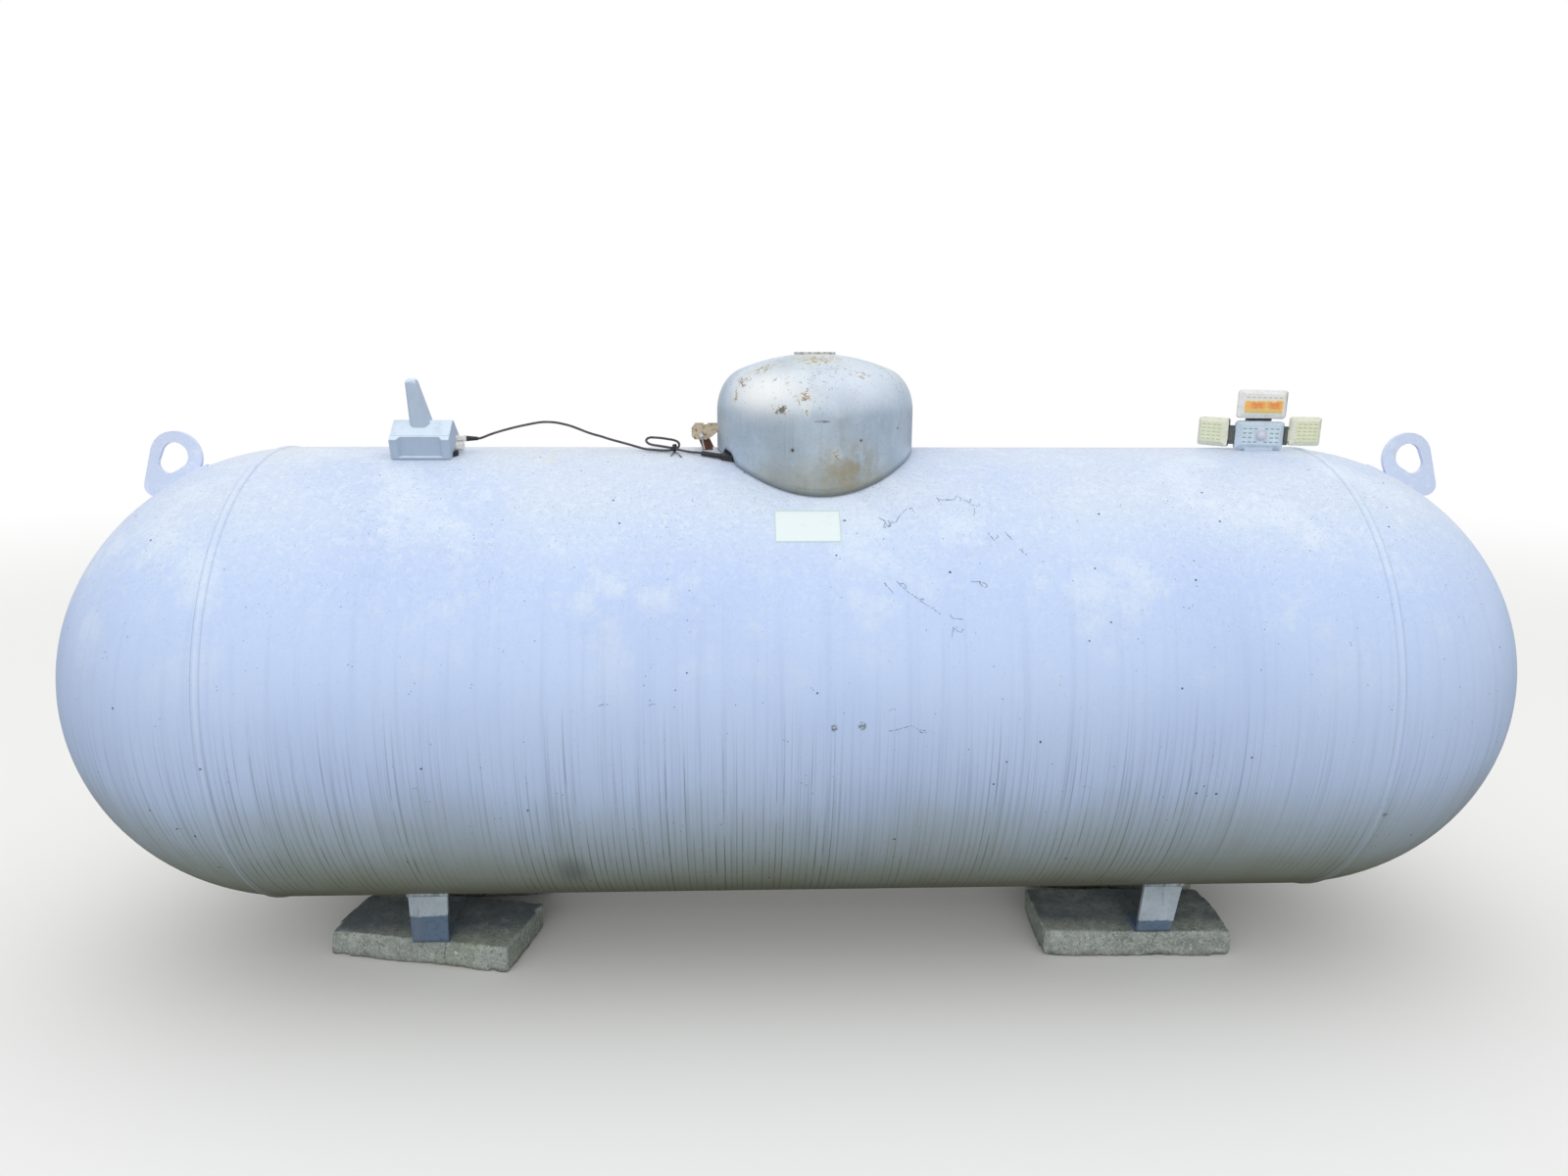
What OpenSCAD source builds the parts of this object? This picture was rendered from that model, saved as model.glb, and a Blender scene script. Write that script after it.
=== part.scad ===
// Horizontal pressure tank on concrete blocks, with its hinged hood and fittings,
// a level telemetry unit with its cable, and a small solar lamp on its crown.
// Millimetres. X runs along the tank, -Y is the front, Z = 0 is the ground.

/* [Tank] */
// Outside diameter of the shell
tank_od = 950.4; // [930:0.4:970]
// Distance from the middle of the tank to the centre of each round head
head_centre_x = 1036; // [1000:1:1060]
// Length of each head's straight flange, up to the girth weld
head_flange = 32; // [28:1:40]
// Wall thickness of the shell
shell_t = 6; // [5:0.5:8]
// Wall thickness of the heads
head_t = 5; // [4:0.5:6]

/* [Lifting lugs] */
// Distance of the left lug from the middle of the tank
lug_left_x = 1288; // [1280:1:1300]
// Distance of the right lug from the middle of the tank
lug_right_x = 1309; // [1295:1:1315]
// Plate thickness of the lugs
lug_t = 9.5; // [8:0.5:12]

/* [Legs and blocks] */
// Distance of the left legs from the middle of the tank
leg_left_x = 760; // [750:1:770]
// Distance of the right legs' tops from the middle of the tank
leg_right_x = 753; // [745:1:765]
// How far the right legs slant towards the middle at their feet
leg_slant = 15; // [0:1:18]
// Distance from the tank's middle plane to the outer face of a leg
leg_face_y = 250; // [235:1:260]
// Width of a leg at its top
leg_w = 79; // [70:1:90]
// Plate thickness of a leg
leg_t = 9.5; // [8:0.5:12]
// Height of the tank's axis above the feet
axis_above_feet = 517; // [500:1:540]
// Length of a concrete block
block_l = 397; // [390:1:400]
// Width of a concrete block
block_w = 194; // [190:1:200]
// Height of a concrete block
block_h = 57; // [50:1:92]

/* [Hood] */
// Distance of the hood's middle from the middle of the tank
hood_x = 32; // [25:1:40]
// Half of the hood's width along the tank
hood_a = 203; // [200:1:206]
// Half of the hood's width across the tank
hood_b = 256; // [250:1:262]
// Height of the hood's top above the crown of the tank
hood_top = 195; // [185:1:205]
// Height above the crown where the upright wall ends
hood_wall = 80; // [76:1:84]
// Sheet thickness of the hood
hood_t = 2.5; // [2:0.5:3]
// Gap between the hood's rim and the shell
hood_gap = 5; // [5:0.5:6]

/* [Telemetry unit] */
// Distance of the unit from the middle of the tank, to the left
unit_x = 755; // [750:1:765]
// Width of the unit
unit_w = 117; // [112:1:120]
// Height of the unit's ridge above the foot of its front
unit_h = 76; // [74:1:80]

/* [Lamp] */
// Distance of the lamp from the middle of the tank, to the right
lamp_x = 967; // [960:1:968]
// Width of the lamp's middle and top housings
lamp_w = 103; // [100:1:106]
// Height of the lamp's middle housing
lamp_h = 59; // [58:1:62]
// How far the left head is turned away from the front
lamp_left_turn = 56; // [30:1:58]
// How far the right head is turned away from the front
lamp_right_turn = 6; // [0:1:40]

/* [Hidden] */
$fn = 96;

tank_r = tank_od / 2;
axis_z = axis_above_feet + block_h;
crown_z = axis_z + tank_r;
weld_x = head_centre_x + head_flange;
weld_half = 5;
bead_half = 9;
bead_h = 2.2;
// Gap under what is welded to a round head
weld_gap = 0.02;

// Height of the shell's surface above the ground at a distance y from its middle plane
function shell_z(y) = axis_z + sqrt(tank_r * tank_r - y * y);
// Radius of a head's surface at a distance along the axis from its centre
function head_r(x) = sqrt(tank_r * tank_r - x * x);

// Places of the fittings under the hood: x, y, radius of the coupling, radius of its bore
relief_at = [94, 70, 30, 21];
fill_at = [127, -60, 30, 21];
service_at = [37, -120, 19, 13.3];
liquid_at = [24, 12, 19, 13.3];
gauge_at = [-53, 20, 30, 20];
fittings = [relief_at, fill_at, service_at, liquid_at, gauge_at];
coupling_up = 14;
coupling_down = 34;
coupling_top = crown_z + coupling_up;
stem_l = 24;

// The hood's pin, seen from the front
pin_x = -203;
pin_z = axis_z + 505;
pin_r = 3;
pin_clear = 0.1;
tab_y = 37.5;
tab_t = 5;
hinge_lug_t = 6;
hinge_lug_y = 30.5;

// The hood's skin: a wall, a round shoulder, and a shallow crown, as rings of points
hood_n = 90;
shoulder_w = 70;
shoulder_h = 88;
shoulder_end = 72;
shoulder_steps = 7;
crown_steps = 5;
hood_edge_in = shoulder_w * (1 - cos(shoulder_end));
// The notch in the rim that the cable passes through
notch_angle = 208;
notch_half = 5;
notch_h = 15;

// The telemetry unit stands level; its underside follows the shell, in short flats
unit_y = -82.5;
unit_z = axis_z + 461;
unit_gap = 1.2;
unit_foot_y = -34.5;
unit_eave_y = -44.5;
unit_eave_z = 39.7;
unit_front_lean = atan2(unit_foot_y - unit_eave_y, unit_eave_z);
unit_front_d = 10.5;
foot_gap = 0.08;
gland_y = 19.5;
gland_z = 38;
plug_z = 23;

// The lamp leans to the right, where the head falls away
lamp_y = -40;
lamp_lean = 1.2;
lamp_z = crown_z + 0.7;
lamp_depth = 24;
lamp_bevel = 9;
lamp_rim = 6;
lamp_waist = 12;
lamp_back_in = 13;
lamp_corner = 7.5;
side_w = 70;
side_h = 60;
left_lift = 3.4;
right_lift = 9.3;
side_gap = 7;
side_pivot_x = lamp_w / 2 + 6;
side_pivot_y = 10;
barrel_r = 5;
lamp_pin_r = 1.8;
eye_h = 8;
eye_low = 10;
eye_high = 41;
top_h = 59;
top_lift = 5.5;
top_pivot_y = 18;
top_pivot_z = lamp_h + 4;
lens_inset = 11;
lens_deep = 2;
lens_proud = 0.5;
sensor_r = 10.6;
sensor_w = 26;
sensor_h = 23;

// The cable: radius, and its route from the unit's gland to the gauge under the hood
cable_r = 2.5;
cable_sides = 8;
route = [
    [-676, -63, 499], [-664, -63, 499], [-652, -63, 499], [-642, -62, 502], [-632, -60, 506],
    [-614, -56, 512], [-596, -52, 517],
    [-576, -50, 522], [-557, -48, 526], [-541, -46, 529], [-527, -45, 531], [-513, -43, 531],
    [-500, -42, 530], [-485, -41, 527], [-470, -40, 523], [-454, -39, 517], [-439, -39, 511],
    [-424, -39, 506], [-409, -40, 502], [-390, -41, 496], [-371, -43, 491], [-352, -45, 486],
    [-334, -47, 481], [-318, -50, 477], [-303, -54, 476], [-288, -58, 475], [-274, -60, 475],
    [-262, -61, 476], [-253, -61, 479], [-248, -60, 485], [-250, -56, 491], [-258, -52, 495],
    [-270, -49, 497], [-284, -47, 499], [-298, -46, 500], [-309, -48, 500], [-315, -53, 496],
    [-313, -59, 491], [-304, -63, 487], [-291, -65, 485], [-277, -67, 483], [-264, -69, 481],
    [-251, -71, 478], [-236, -74, 475], [-222, -78, 473], [-210, -85, 473], [-200, -92, 472],
    [-160, -114, 468], [-148, -121, 467], [-134, -129, 466], [-122, -131, 464], [-110, -127, 463],
    [-100, -117, 465], [-93, -104, 467], [-88, -89, 470], [-83, -74, 474], [-78, -59, 480],
    [-74, -46, 488], [-70, -34, 497], [-67, -23, 504]
];
sleeve_from = [-200, -92, 472];
sleeve_to = [-160, -114, 468];
sleeve_r = 5;

// Shapes that several parts share

// A solid of revolution or a bar turned from Z to the tank's axis
module along_x(x = 0) {
    translate([x, 0, axis_z]) rotate([0, 90, 0]) children();
}

// The tank's outside without its round ends, to cut what stands on it
module tank_solid() {
    along_x(-weld_x - 20) cylinder(r = tank_r, h = 2 * weld_x + 40, $fn = 180);
}

// The straight sides between two circles that touch both
module tangent_link(c1, r1, c2, r2) {
    d = norm(c2 - c1);
    a = atan2(c2[1] - c1[1], c2[0] - c1[0]);
    b = acos((r1 - r2) / d);
    polygon([
        c1, c1 + r1 * [cos(a + b), sin(a + b)], c2 + r2 * [cos(a + b), sin(a + b)],
        c2, c2 + r2 * [cos(a - b), sin(a - b)], c1 + r1 * [cos(a - b), sin(a - b)]
    ]);
}

module two_circles(c1, r1, c2, r2) {
    translate(c1) circle(r1);
    translate(c2) circle(r2);
    tangent_link(c1, r1, c2, r2);
}

// A plate in the XZ plane, drawn as x and height, its middle at y = 0
module upright_plate(t) {
    translate([0, t / 2, 0]) rotate([90, 0, 0]) linear_extrude(t) children();
}

module hex_bar(across, h) {
    cylinder(r = across / sqrt(3), h = h, $fn = 6);
}

// Tank

module shell() {
    color("gainsboro") difference() {
        along_x(-weld_x + weld_half) cylinder(r = tank_r, h = 2 * (weld_x - weld_half), $fn = 180);
        along_x(-weld_x) cylinder(r = tank_r - shell_t, h = 2 * weld_x, $fn = 180);
        for (f = fittings)
            translate([f[0], f[1], axis_z]) cylinder(r = f[2], h = tank_r + 20);
    }
}

module head() {
    along_x(head_centre_x) rotate_extrude($fn = 180) difference() {
        circle(tank_r, $fn = 180);
        circle(tank_r - head_t, $fn = 180);
        translate([-2 * tank_r, -tank_r]) square([2 * tank_r, 2 * tank_r]);
        translate([-1, -tank_r - 1]) square([tank_r + 2, tank_r + 1 + head_flange + weld_half]);
    }
}

module head_right() {
    color("gainsboro") head();
}

module head_left() {
    color("gainsboro") mirror([1, 0, 0]) head();
}

module girth_weld() {
    outer = head_r(head_flange + bead_half);
    along_x(weld_x) rotate_extrude($fn = 180) polygon([
        [tank_r - head_t, -weld_half], [tank_r, -weld_half], [tank_r, -bead_half],
        [tank_r + 0.7 * bead_h, -0.6 * bead_half], [tank_r + bead_h, -0.2 * bead_half],
        [tank_r + bead_h, 0.2 * bead_half], [tank_r + 0.6 * bead_h, 0.6 * bead_half],
        [outer + weld_gap, bead_half], [head_r(head_flange + weld_half) + weld_gap, weld_half],
        [tank_r - head_t, weld_half]
    ]);
}

module girth_welds() {
    color("silver") {
        girth_weld();
        mirror([1, 0, 0]) girth_weld();
    }
}

// A lug plate with an eye that narrows towards its outer foot, on the round of the head
module lifting_lug(x) {
    top = [x, 457];
    foot = [x + 49, 396];
    eye = top + [2, 2];
    eye_low = top + [17, -15];
    centre = [head_centre_x, 0];
    fillet = 6;
    start = atan2(373, 331);
    sweep = 18;
    translate([0, 0, axis_z]) {
        upright_plate(lug_t) difference() {
            union() {
                two_circles(top, 52, foot, 22);
                two_circles(top, 52, [x - 22, 426], 20);
            }
            translate(centre) circle(tank_r, $fn = 180);
            two_circles(eye, 27, eye_low, 20);
        }
        for (side = [-1, 1])
            translate([head_centre_x, side * lug_t / 2, 0]) rotate([90, 0, 0])
                rotate([0, 0, start]) rotate_extrude(angle = sweep, $fn = 180) polygon([
                    [tank_r + weld_gap, 0], [tank_r + fillet, 0], [tank_r + weld_gap, -side * fillet]
                ]);
    }
}

module lifting_lug_right() {
    color("gainsboro") lifting_lug(lug_right_x);
}

module lifting_lug_left() {
    color("gainsboro") mirror([1, 0, 0]) lifting_lug(lug_left_x);
}

// Legs: a plate welded to the belly, turned inwards at its foot, where it is narrower
module leg(x, slant) {
    bend = 12;
    foot_l = 64;
    hole_r = 9.5;
    hole_in = 40;
    face = -leg_face_y;
    weld_r = 4;
    half = leg_w / 2;
    narrower = 3.5;
    top = shell_bottom(leg_face_y);
    above = axis_z;
    // The slanted sides go on above the shell's underside, where the shell cuts the plate
    rise = (above - block_h) / (top - block_h);
    foot = x - slant;
    function low(s) = foot + s * (half - narrower);
    function side(s) = [low(s), low(s) + rise * (slant + s * narrower)];
    color("lightsteelblue") difference() {
        union() {
            intersection() {
                translate([x - leg_w, 0, block_h]) rotate([90, 0, 90]) linear_extrude(2 * leg_w) {
                    translate([face, bend]) square([leg_t, axis_above_feet - tank_r + 62]);
                    translate([face + bend, 0]) square([foot_l - bend, leg_t]);
                    intersection() {
                        translate([face, 0]) square(bend);
                        translate([face + bend, bend]) difference() {
                            circle(bend);
                            circle(bend - leg_t);
                        }
                    }
                }
                rotate([90, 0, 0]) linear_extrude(2 * leg_face_y) polygon([
                    [side(-1)[0], block_h], [side(1)[0], block_h], [side(1)[1], above], [side(-1)[1], above]
                ]);
            }
            translate([x - half - 2, face - 0.5, top - 1.5])
                rotate([0, 90, 0]) cylinder(r = weld_r, h = leg_w + 4);
        }
        tank_solid();
        translate([foot, face + hole_in, block_h - 1]) cylinder(r = hole_r, h = leg_t + 2);
    }
}

// Height of the shell's underside at a distance y from its middle plane
function shell_bottom(y) = axis_z - sqrt(tank_r * tank_r - y * y);

module leg_front_right() {
    leg(leg_right_x, leg_slant);
}

module leg_front_left() {
    mirror([1, 0, 0]) leg(leg_left_x, 0);
}

module leg_rear_right() {
    mirror([0, 1, 0]) leg(leg_right_x, leg_slant);
}

module leg_rear_left() {
    mirror([0, 1, 0]) mirror([1, 0, 0]) leg(leg_left_x, 0);
}

// Concrete blocks with two knocked corners

module block(x, y, turn, chip) {
    l = block_l / 2;
    w = block_w / 2;
    color("darkgray") translate([x, y, 0]) rotate(turn) difference() {
        linear_extrude(block_h) polygon([
            [-l + chip, -w], [l - 2, -w], [l, -w + 2], [l, w - chip], [l - chip, w],
            [-l + 2, w], [-l, w - 2], [-l, -w + chip]
        ]);
        translate([-l - 1, -w, block_h]) rotate([45, 0, 0])
            cube([block_l + 2, 3, 3]);
        translate([l, -w - 1, block_h]) rotate([0, 45, 0])
            translate([-chip / 2, 0, -chip / 2]) cube([chip, 60, chip]);
    }
}

module block_front_left() {
    block(-774, -134, -12.4, 8);
}

module block_front_right() {
    block(714, -146, -1.5, 6);
}

module block_rear_left() {
    block(-765, 148, 4, 7);
}

module block_rear_right() {
    block(750, 146, -5, 9);
}

// Fittings under the hood

module couplings() {
    flare = 8;
    color("slategray") for (f = fittings) translate([f[0], f[1], 0]) difference() {
        union() {
            translate([0, 0, crown_z - coupling_down]) cylinder(r = f[2], h = coupling_down + coupling_up);
            difference() {
                translate([0, 0, shell_z(f[1]) - 6]) cylinder(r1 = f[2] + flare, r2 = f[2], h = 14);
                translate([-f[0], -f[1], 0]) tank_solid();
            }
        }
        translate([0, 0, crown_z - 60]) cylinder(r = f[3], h = 100);
    }
}

module relief_valve() {
    color("goldenrod") translate([relief_at[0], relief_at[1], coupling_top]) {
        translate([0, 0, -stem_l]) cylinder(r = relief_at[3], h = stem_l);
        hex_bar(56, 18);
        translate([0, 0, 18]) cylinder(r = 26, h = 14);
    }
}

module relief_cap() {
    color("gold") translate([relief_at[0], relief_at[1], coupling_top + 32]) rotate_extrude()
        polygon([[0, 0], [27, 0], [29, 2], [29, 6], [24, 10], [12, 13], [0, 14]]);
}

module fill_valve() {
    color("goldenrod") translate([fill_at[0], fill_at[1], coupling_top]) difference() {
        union() {
            translate([0, 0, -stem_l]) cylinder(r = fill_at[3], h = stem_l);
            hex_bar(52, 16);
            translate([0, 0, 16]) cylinder(r = 19, h = 8);
            translate([0, 0, 24]) cylinder(r = 22.2, h = 24);
        }
        translate([0, 0, 30]) cylinder(r = 15, h = 20);
    }
}

module fill_cap() {
    ribs = 12;
    color("forestgreen") translate([fill_at[0], fill_at[1], coupling_top + 25]) difference() {
        union() {
            cylinder(r = 28, h = 27);
            for (i = [0 : ribs - 1])
                rotate(i * 360 / ribs) translate([27, -2.5, 2]) cube([3.5, 5, 24]);
        }
        translate([0, 0, -1]) cylinder(r = 22.4, h = 24.4);
    }
}

module service_valve() {
    color("goldenrod") translate([service_at[0], service_at[1], coupling_top]) difference() {
        union() {
            translate([0, 0, -stem_l]) cylinder(r = service_at[3], h = stem_l);
            hex_bar(34, 14);
            translate([0, 0, 14]) cylinder(r = 14, h = 30);
            translate([0, 0, 29]) rotate([0, 90, 0]) cylinder(r = 13.5, h = 34);
            translate([0, 0, 44]) hex_bar(26, 10);
            translate([0, 0, 54]) cylinder(r = 4, h = 8);
        }
        translate([16, 0, 29]) rotate([0, 90, 0]) cylinder(r = 10.4, h = 20);
    }
}

module service_handwheel() {
    lobes = 8;
    color("firebrick") translate([service_at[0], service_at[1], coupling_top + 56]) difference() {
        union() {
            cylinder(r = 27, h = 9);
            cylinder(r = 10, h = 13);
        }
        for (i = [0 : lobes - 1])
            rotate(i * 360 / lobes) translate([30, 0, -1]) cylinder(r = 6, h = 12);
        translate([0, 0, -1]) cylinder(r = 4.1, h = 7.1);
    }
}

module liquid_valve() {
    color("goldenrod") translate([liquid_at[0], liquid_at[1], coupling_top]) {
        translate([0, 0, -stem_l]) cylinder(r = liquid_at[3], h = stem_l);
        hex_bar(38, 13);
        translate([0, 0, 13]) cylinder(r = 15, h = 14);
        translate([0, 0, 27]) hex_bar(30, 12);
    }
}

module gauge_flange() {
    bolts = 4;
    color("lightgray") translate([gauge_at[0], gauge_at[1], coupling_top]) {
        translate([0, 0, -stem_l]) cylinder(r = gauge_at[3], h = stem_l);
        cylinder(r = 35, h = 9);
        for (i = [0 : bolts - 1])
            rotate(27 + i * 360 / bolts) translate([28, 0, 9]) hex_bar(11, 6);
    }
}

// The dial with the level sensor's moulded arm, which the cable ends in
module gauge_dial() {
    color("black") translate([gauge_at[0], gauge_at[1], coupling_top + 9]) {
        cylinder(r = 21, h = 9);
        translate([0, 0, 9]) cylinder(r = 19, h = 3);
        rotate(-108) translate([10, -9, 0]) cube([35, 18, 11]);
    }
}

// Hinge of the hood: two lugs on the crown, a bent pin, and two tabs on the hood

module hinge_lugs() {
    color("saddlebrown") for (side = [-1, 1]) difference() {
        translate([0, side * hinge_lug_y, 0]) upright_plate(hinge_lug_t) difference() {
            union() {
                translate([pin_x, pin_z]) circle(9);
                polygon([
                    [pin_x - 9, pin_z], [pin_x + 9, pin_z],
                    [pin_x + 26, crown_z - 6], [pin_x + 5, crown_z - 6]
                ]);
            }
            translate([pin_x, pin_z]) circle(pin_r);
        }
        tank_solid();
    }
}

// The pin has a low round head at its front end, and a thin tail that hangs from it
module hinge_pin() {
    end_y = 50;
    tail_r = 1.6;
    tail_l = 29;
    tail_lean = 12;
    color("silver") {
        translate([pin_x, end_y, pin_z]) rotate([90, 0, 0]) cylinder(r = pin_r, h = 2 * end_y, $fn = 48);
        translate([pin_x, -end_y, pin_z]) rotate([90, 0, 0]) cylinder(r1 = 5, r2 = 4, h = 2.5, $fn = 48);
        translate([pin_x, -end_y + 3, pin_z]) rotate([0, 180 - tail_lean, 0])
            cylinder(r = tail_r, h = tail_l, $fn = 48);
    }
}

module hood_tab() {
    hood_edge = hood_x - hood_a * sqrt(1 - pow(tab_y / hood_b, 2));
    top = pin_z + 20;
    upright_plate(tab_t) difference() {
        polygon([
            [hood_edge + 1, top], [pin_x - 16, top], [pin_x - 20, top - 5], [pin_x - 20, pin_z - 3],
            [pin_x - 13, pin_z - 9], [pin_x + 10, pin_z - 9], [pin_x + 22, pin_z - 3],
            [hood_edge + 1, pin_z + 8]
        ]);
        translate([pin_x, pin_z]) circle(pin_r + pin_clear, $fn = 48);
        translate([pin_x + 6, top + 2]) circle(5.5);
    }
}

module hood_tabs() {
    color("tan") for (side = [-1, 1])
        translate([0, side * (tab_y + tab_t / 2 - 0.5), 0]) hood_tab();
}

// Hood: one pressed sheet, oval in plan, whose rim follows the shell.
// It is one closed surface: an outer skin and an inner skin, joined along the rim.

function in_notch(angle) = abs(angle - notch_angle) < notch_half;
function rim_z(y, angle) = shell_z(y) + hood_gap + (in_notch(angle) ? notch_h : 0);

// A point of a skin: angle round the hood, step in from the edge, height over the crown, share of the width
function skin_point(angle, t, in, z, share = 1) = [
    hood_x + share * (hood_a - t - in) * cos(angle), share * (hood_b - t - in) * sin(angle), crown_z + z
];

function level_ring(t, in, z, share = 1) =
    [for (i = [0 : hood_n - 1]) skin_point(i * 360 / hood_n, t, in, z, share)];

function rim_ring(t) = [
    for (i = [0 : hood_n - 1])
        let (a = i * 360 / hood_n, p = skin_point(a, t, 0, 0)) [p[0], p[1], rim_z(p[1], a)]
];

function skin_rings(t) =
    let (rise = shoulder_h - t, low = hood_wall + rise * sin(shoulder_end))
    concat(
        [rim_ring(t)],
        [for (k = [0 : shoulder_steps]) let (f = k * shoulder_end / shoulder_steps)
            level_ring(t, shoulder_w * (1 - cos(f)), hood_wall + rise * sin(f))],
        [for (k = [1 : crown_steps - 1]) let (s = 1 - k / crown_steps)
            level_ring(t, hood_edge_in, low + (hood_top - t - low) * (1 - s * s), s)]
    );

// The triangles between two rings, whose points start at a and at b, and from a ring to a tip
function band(a, b, inside = false) = [
    for (i = [0 : hood_n - 1]) let (j = (i + 1) % hood_n) each inside
        ? [[a + i, a + j, b + i], [a + j, b + j, b + i]]
        : [[a + i, b + i, a + j], [a + j, b + i, b + j]]
];
function fan(a, tip, inside = false) = [
    for (i = [0 : hood_n - 1]) let (j = (i + 1) % hood_n)
        inside ? [a + i, a + j, tip] : [a + i, tip, a + j]
];

module hood() {
    outer = skin_rings(0);
    inner = skin_rings(hood_t);
    rings = len(outer);
    n = hood_n;
    points = concat(
        [for (ring = outer) each ring], [[hood_x, 0, crown_z + hood_top]],
        [for (ring = inner) each ring], [[hood_x, 0, crown_z + hood_top - hood_t]]
    );
    inner_at = rings * n + 1;
    faces = concat(
        [for (k = [0 : rings - 2]) each band(k * n, (k + 1) * n)],
        fan((rings - 1) * n, rings * n),
        [for (k = [0 : rings - 2]) each band(inner_at + k * n, inner_at + (k + 1) * n, true)],
        fan(inner_at + (rings - 1) * n, inner_at + rings * n, true),
        band(0, inner_at, true)
    );
    color("lightsteelblue") polyhedron(points, faces, convexity = 6);
}

module hood_button() {
    color("peru") translate([hood_x, 0, crown_z + hood_top - 2]) rotate_extrude()
        polygon([[0, 0], [43, 0], [43, 3.6], [41.5, 5], [38.5, 5], [37, 3.8], [0, 3.8]]);
}

// Telemetry unit

module on_unit() {
    translate([-unit_x, unit_y, unit_z]) children();
}

// Height of the unit's underside over its front foot, at a depth in its own frame
function unit_under(y) = sqrt(pow(tank_r + unit_gap, 2) - pow(unit_y + y, 2)) + axis_z - unit_z;

// The house-shaped case: leaning front wall, two roof slopes and rear wall
module unit_hull() {
    translate([-unit_w / 2, 0, 0]) rotate([90, 0, 90]) linear_extrude(unit_w) polygon([
        [unit_foot_y, unit_under(unit_foot_y)], [unit_eave_y, unit_eave_z], [-3.5, unit_h], [3.5, unit_h],
        [42.5, 43.5], [44.5, unit_under(44.5)], [18, unit_under(18)], [-8, unit_under(-8)]
    ]);
}

// Stands along the front wall, with y = 0 on it
module along_front() {
    translate([0, unit_foot_y, 0]) rotate([unit_front_lean, 0, 0]) children();
}

module front_side() {
    along_front() translate([-unit_w, -20, -30]) cube([2 * unit_w, 20 + unit_front_d, unit_h + 60]);
}

module unit_front() {
    half = 38;
    flare = 7;
    deep = 7.5;
    color("gainsboro") on_unit() difference() {
        intersection() {
            unit_hull();
            front_side();
        }
        along_front() translate([0, 0, 5]) linear_extrude(unit_h) polygon([
            [-half - flare, -1], [-half, deep], [half, deep], [half + flare, -1]
        ]);
    }
}

module unit_case() {
    color("gainsboro") on_unit() difference() {
        unit_hull();
        front_side();
    }
}

// Antenna: it leans to the left and back, narrows upwards, and its front edges are cut off
module unit_antenna() {
    base = 50;
    top = 158;
    front_lean = 6.2;
    back_lean = 4.1;
    color("gainsboro") on_unit() difference() {
        intersection() {
            translate([0, 40, 0]) rotate([90, 0, 0]) linear_extrude(80) polygon([
                [-22, base], [-29, top - 8], [-27.6, top - 3], [-24, top],
                [-14, top], [-10, top - 3], [-8, top - 8], [20.4, base]
            ]);
            translate([-40, 0, 0]) rotate([90, 0, 90]) linear_extrude(80) polygon([
                [-20.4, base], [-13.6, top - 12], [-9, top - 4], [-3, top],
                [4.5, top], [8.5, top - 3], [10.5, top - 8], [20, base]
            ]);
            translate([-3.8, -20.4, base]) rotate([-back_lean, -front_lean, 0]) translate([0, 0, -40])
                linear_extrude(200) polygon([
                    [-8.8, -2], [8.8, -2], [30, 14], [30, 60], [-30, 60], [-30, 14]
                ]);
        }
        unit_hull();
    }
}

// The cable's gland, and the blanking plug below it
module unit_gland() {
    color("white") on_unit() {
        translate([unit_w / 2, gland_y, gland_z]) rotate([0, 90, 0]) {
            cylinder(r = 7, h = 3);
            translate([0, 0, 3]) hex_bar(10, 11);
            translate([0, 0, 14]) cylinder(r = 6.2, h = 6.5);
        }
        translate([unit_w / 2, gland_y - 3, plug_z]) rotate([0, 90, 0]) {
            cylinder(r = 9.5, h = 4);
            translate([0, 0, 4]) hex_bar(16.2, 10);
        }
    }
}

// The tapered boot that the cable leaves through
module cable_boot() {
    boot_l = 22;
    color("black") on_unit() translate([unit_w / 2 + 20.5, gland_y, gland_z]) rotate([0, 90, 0])
        difference() {
            cylinder(r1 = 5.5, r2 = 3.6, h = boot_l);
            translate([0, 0, -1]) cylinder(r = cable_r + 0.4, h = boot_l + 2);
        }
}

// A round foot at each end, let into the unit's underside
module unit_feet() {
    foot_r = 12.5;
    foot_h = 8.5;
    foot_x = 54;
    foot_y = 87;
    color("black") difference() {
        for (side = [-1, 1])
            translate([-unit_x + side * foot_x, 0, axis_z]) rotate([asin(foot_y / tank_r), 0, 0])
                translate([0, 0, tank_r - 6]) cylinder(r = foot_r, h = 6 + foot_h);
        along_x(-weld_x) cylinder(r = tank_r + foot_gap, h = 2 * weld_x, $fn = 180);
        on_unit() unit_hull();
    }
}

// Cable

// The sides of a tube's ring stand across the route, level with the ground
function across(d) = [-d[1], d[0], 0] / norm([-d[1], d[0], 0]);
function unit_vector(v) = v / norm(v);

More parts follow.
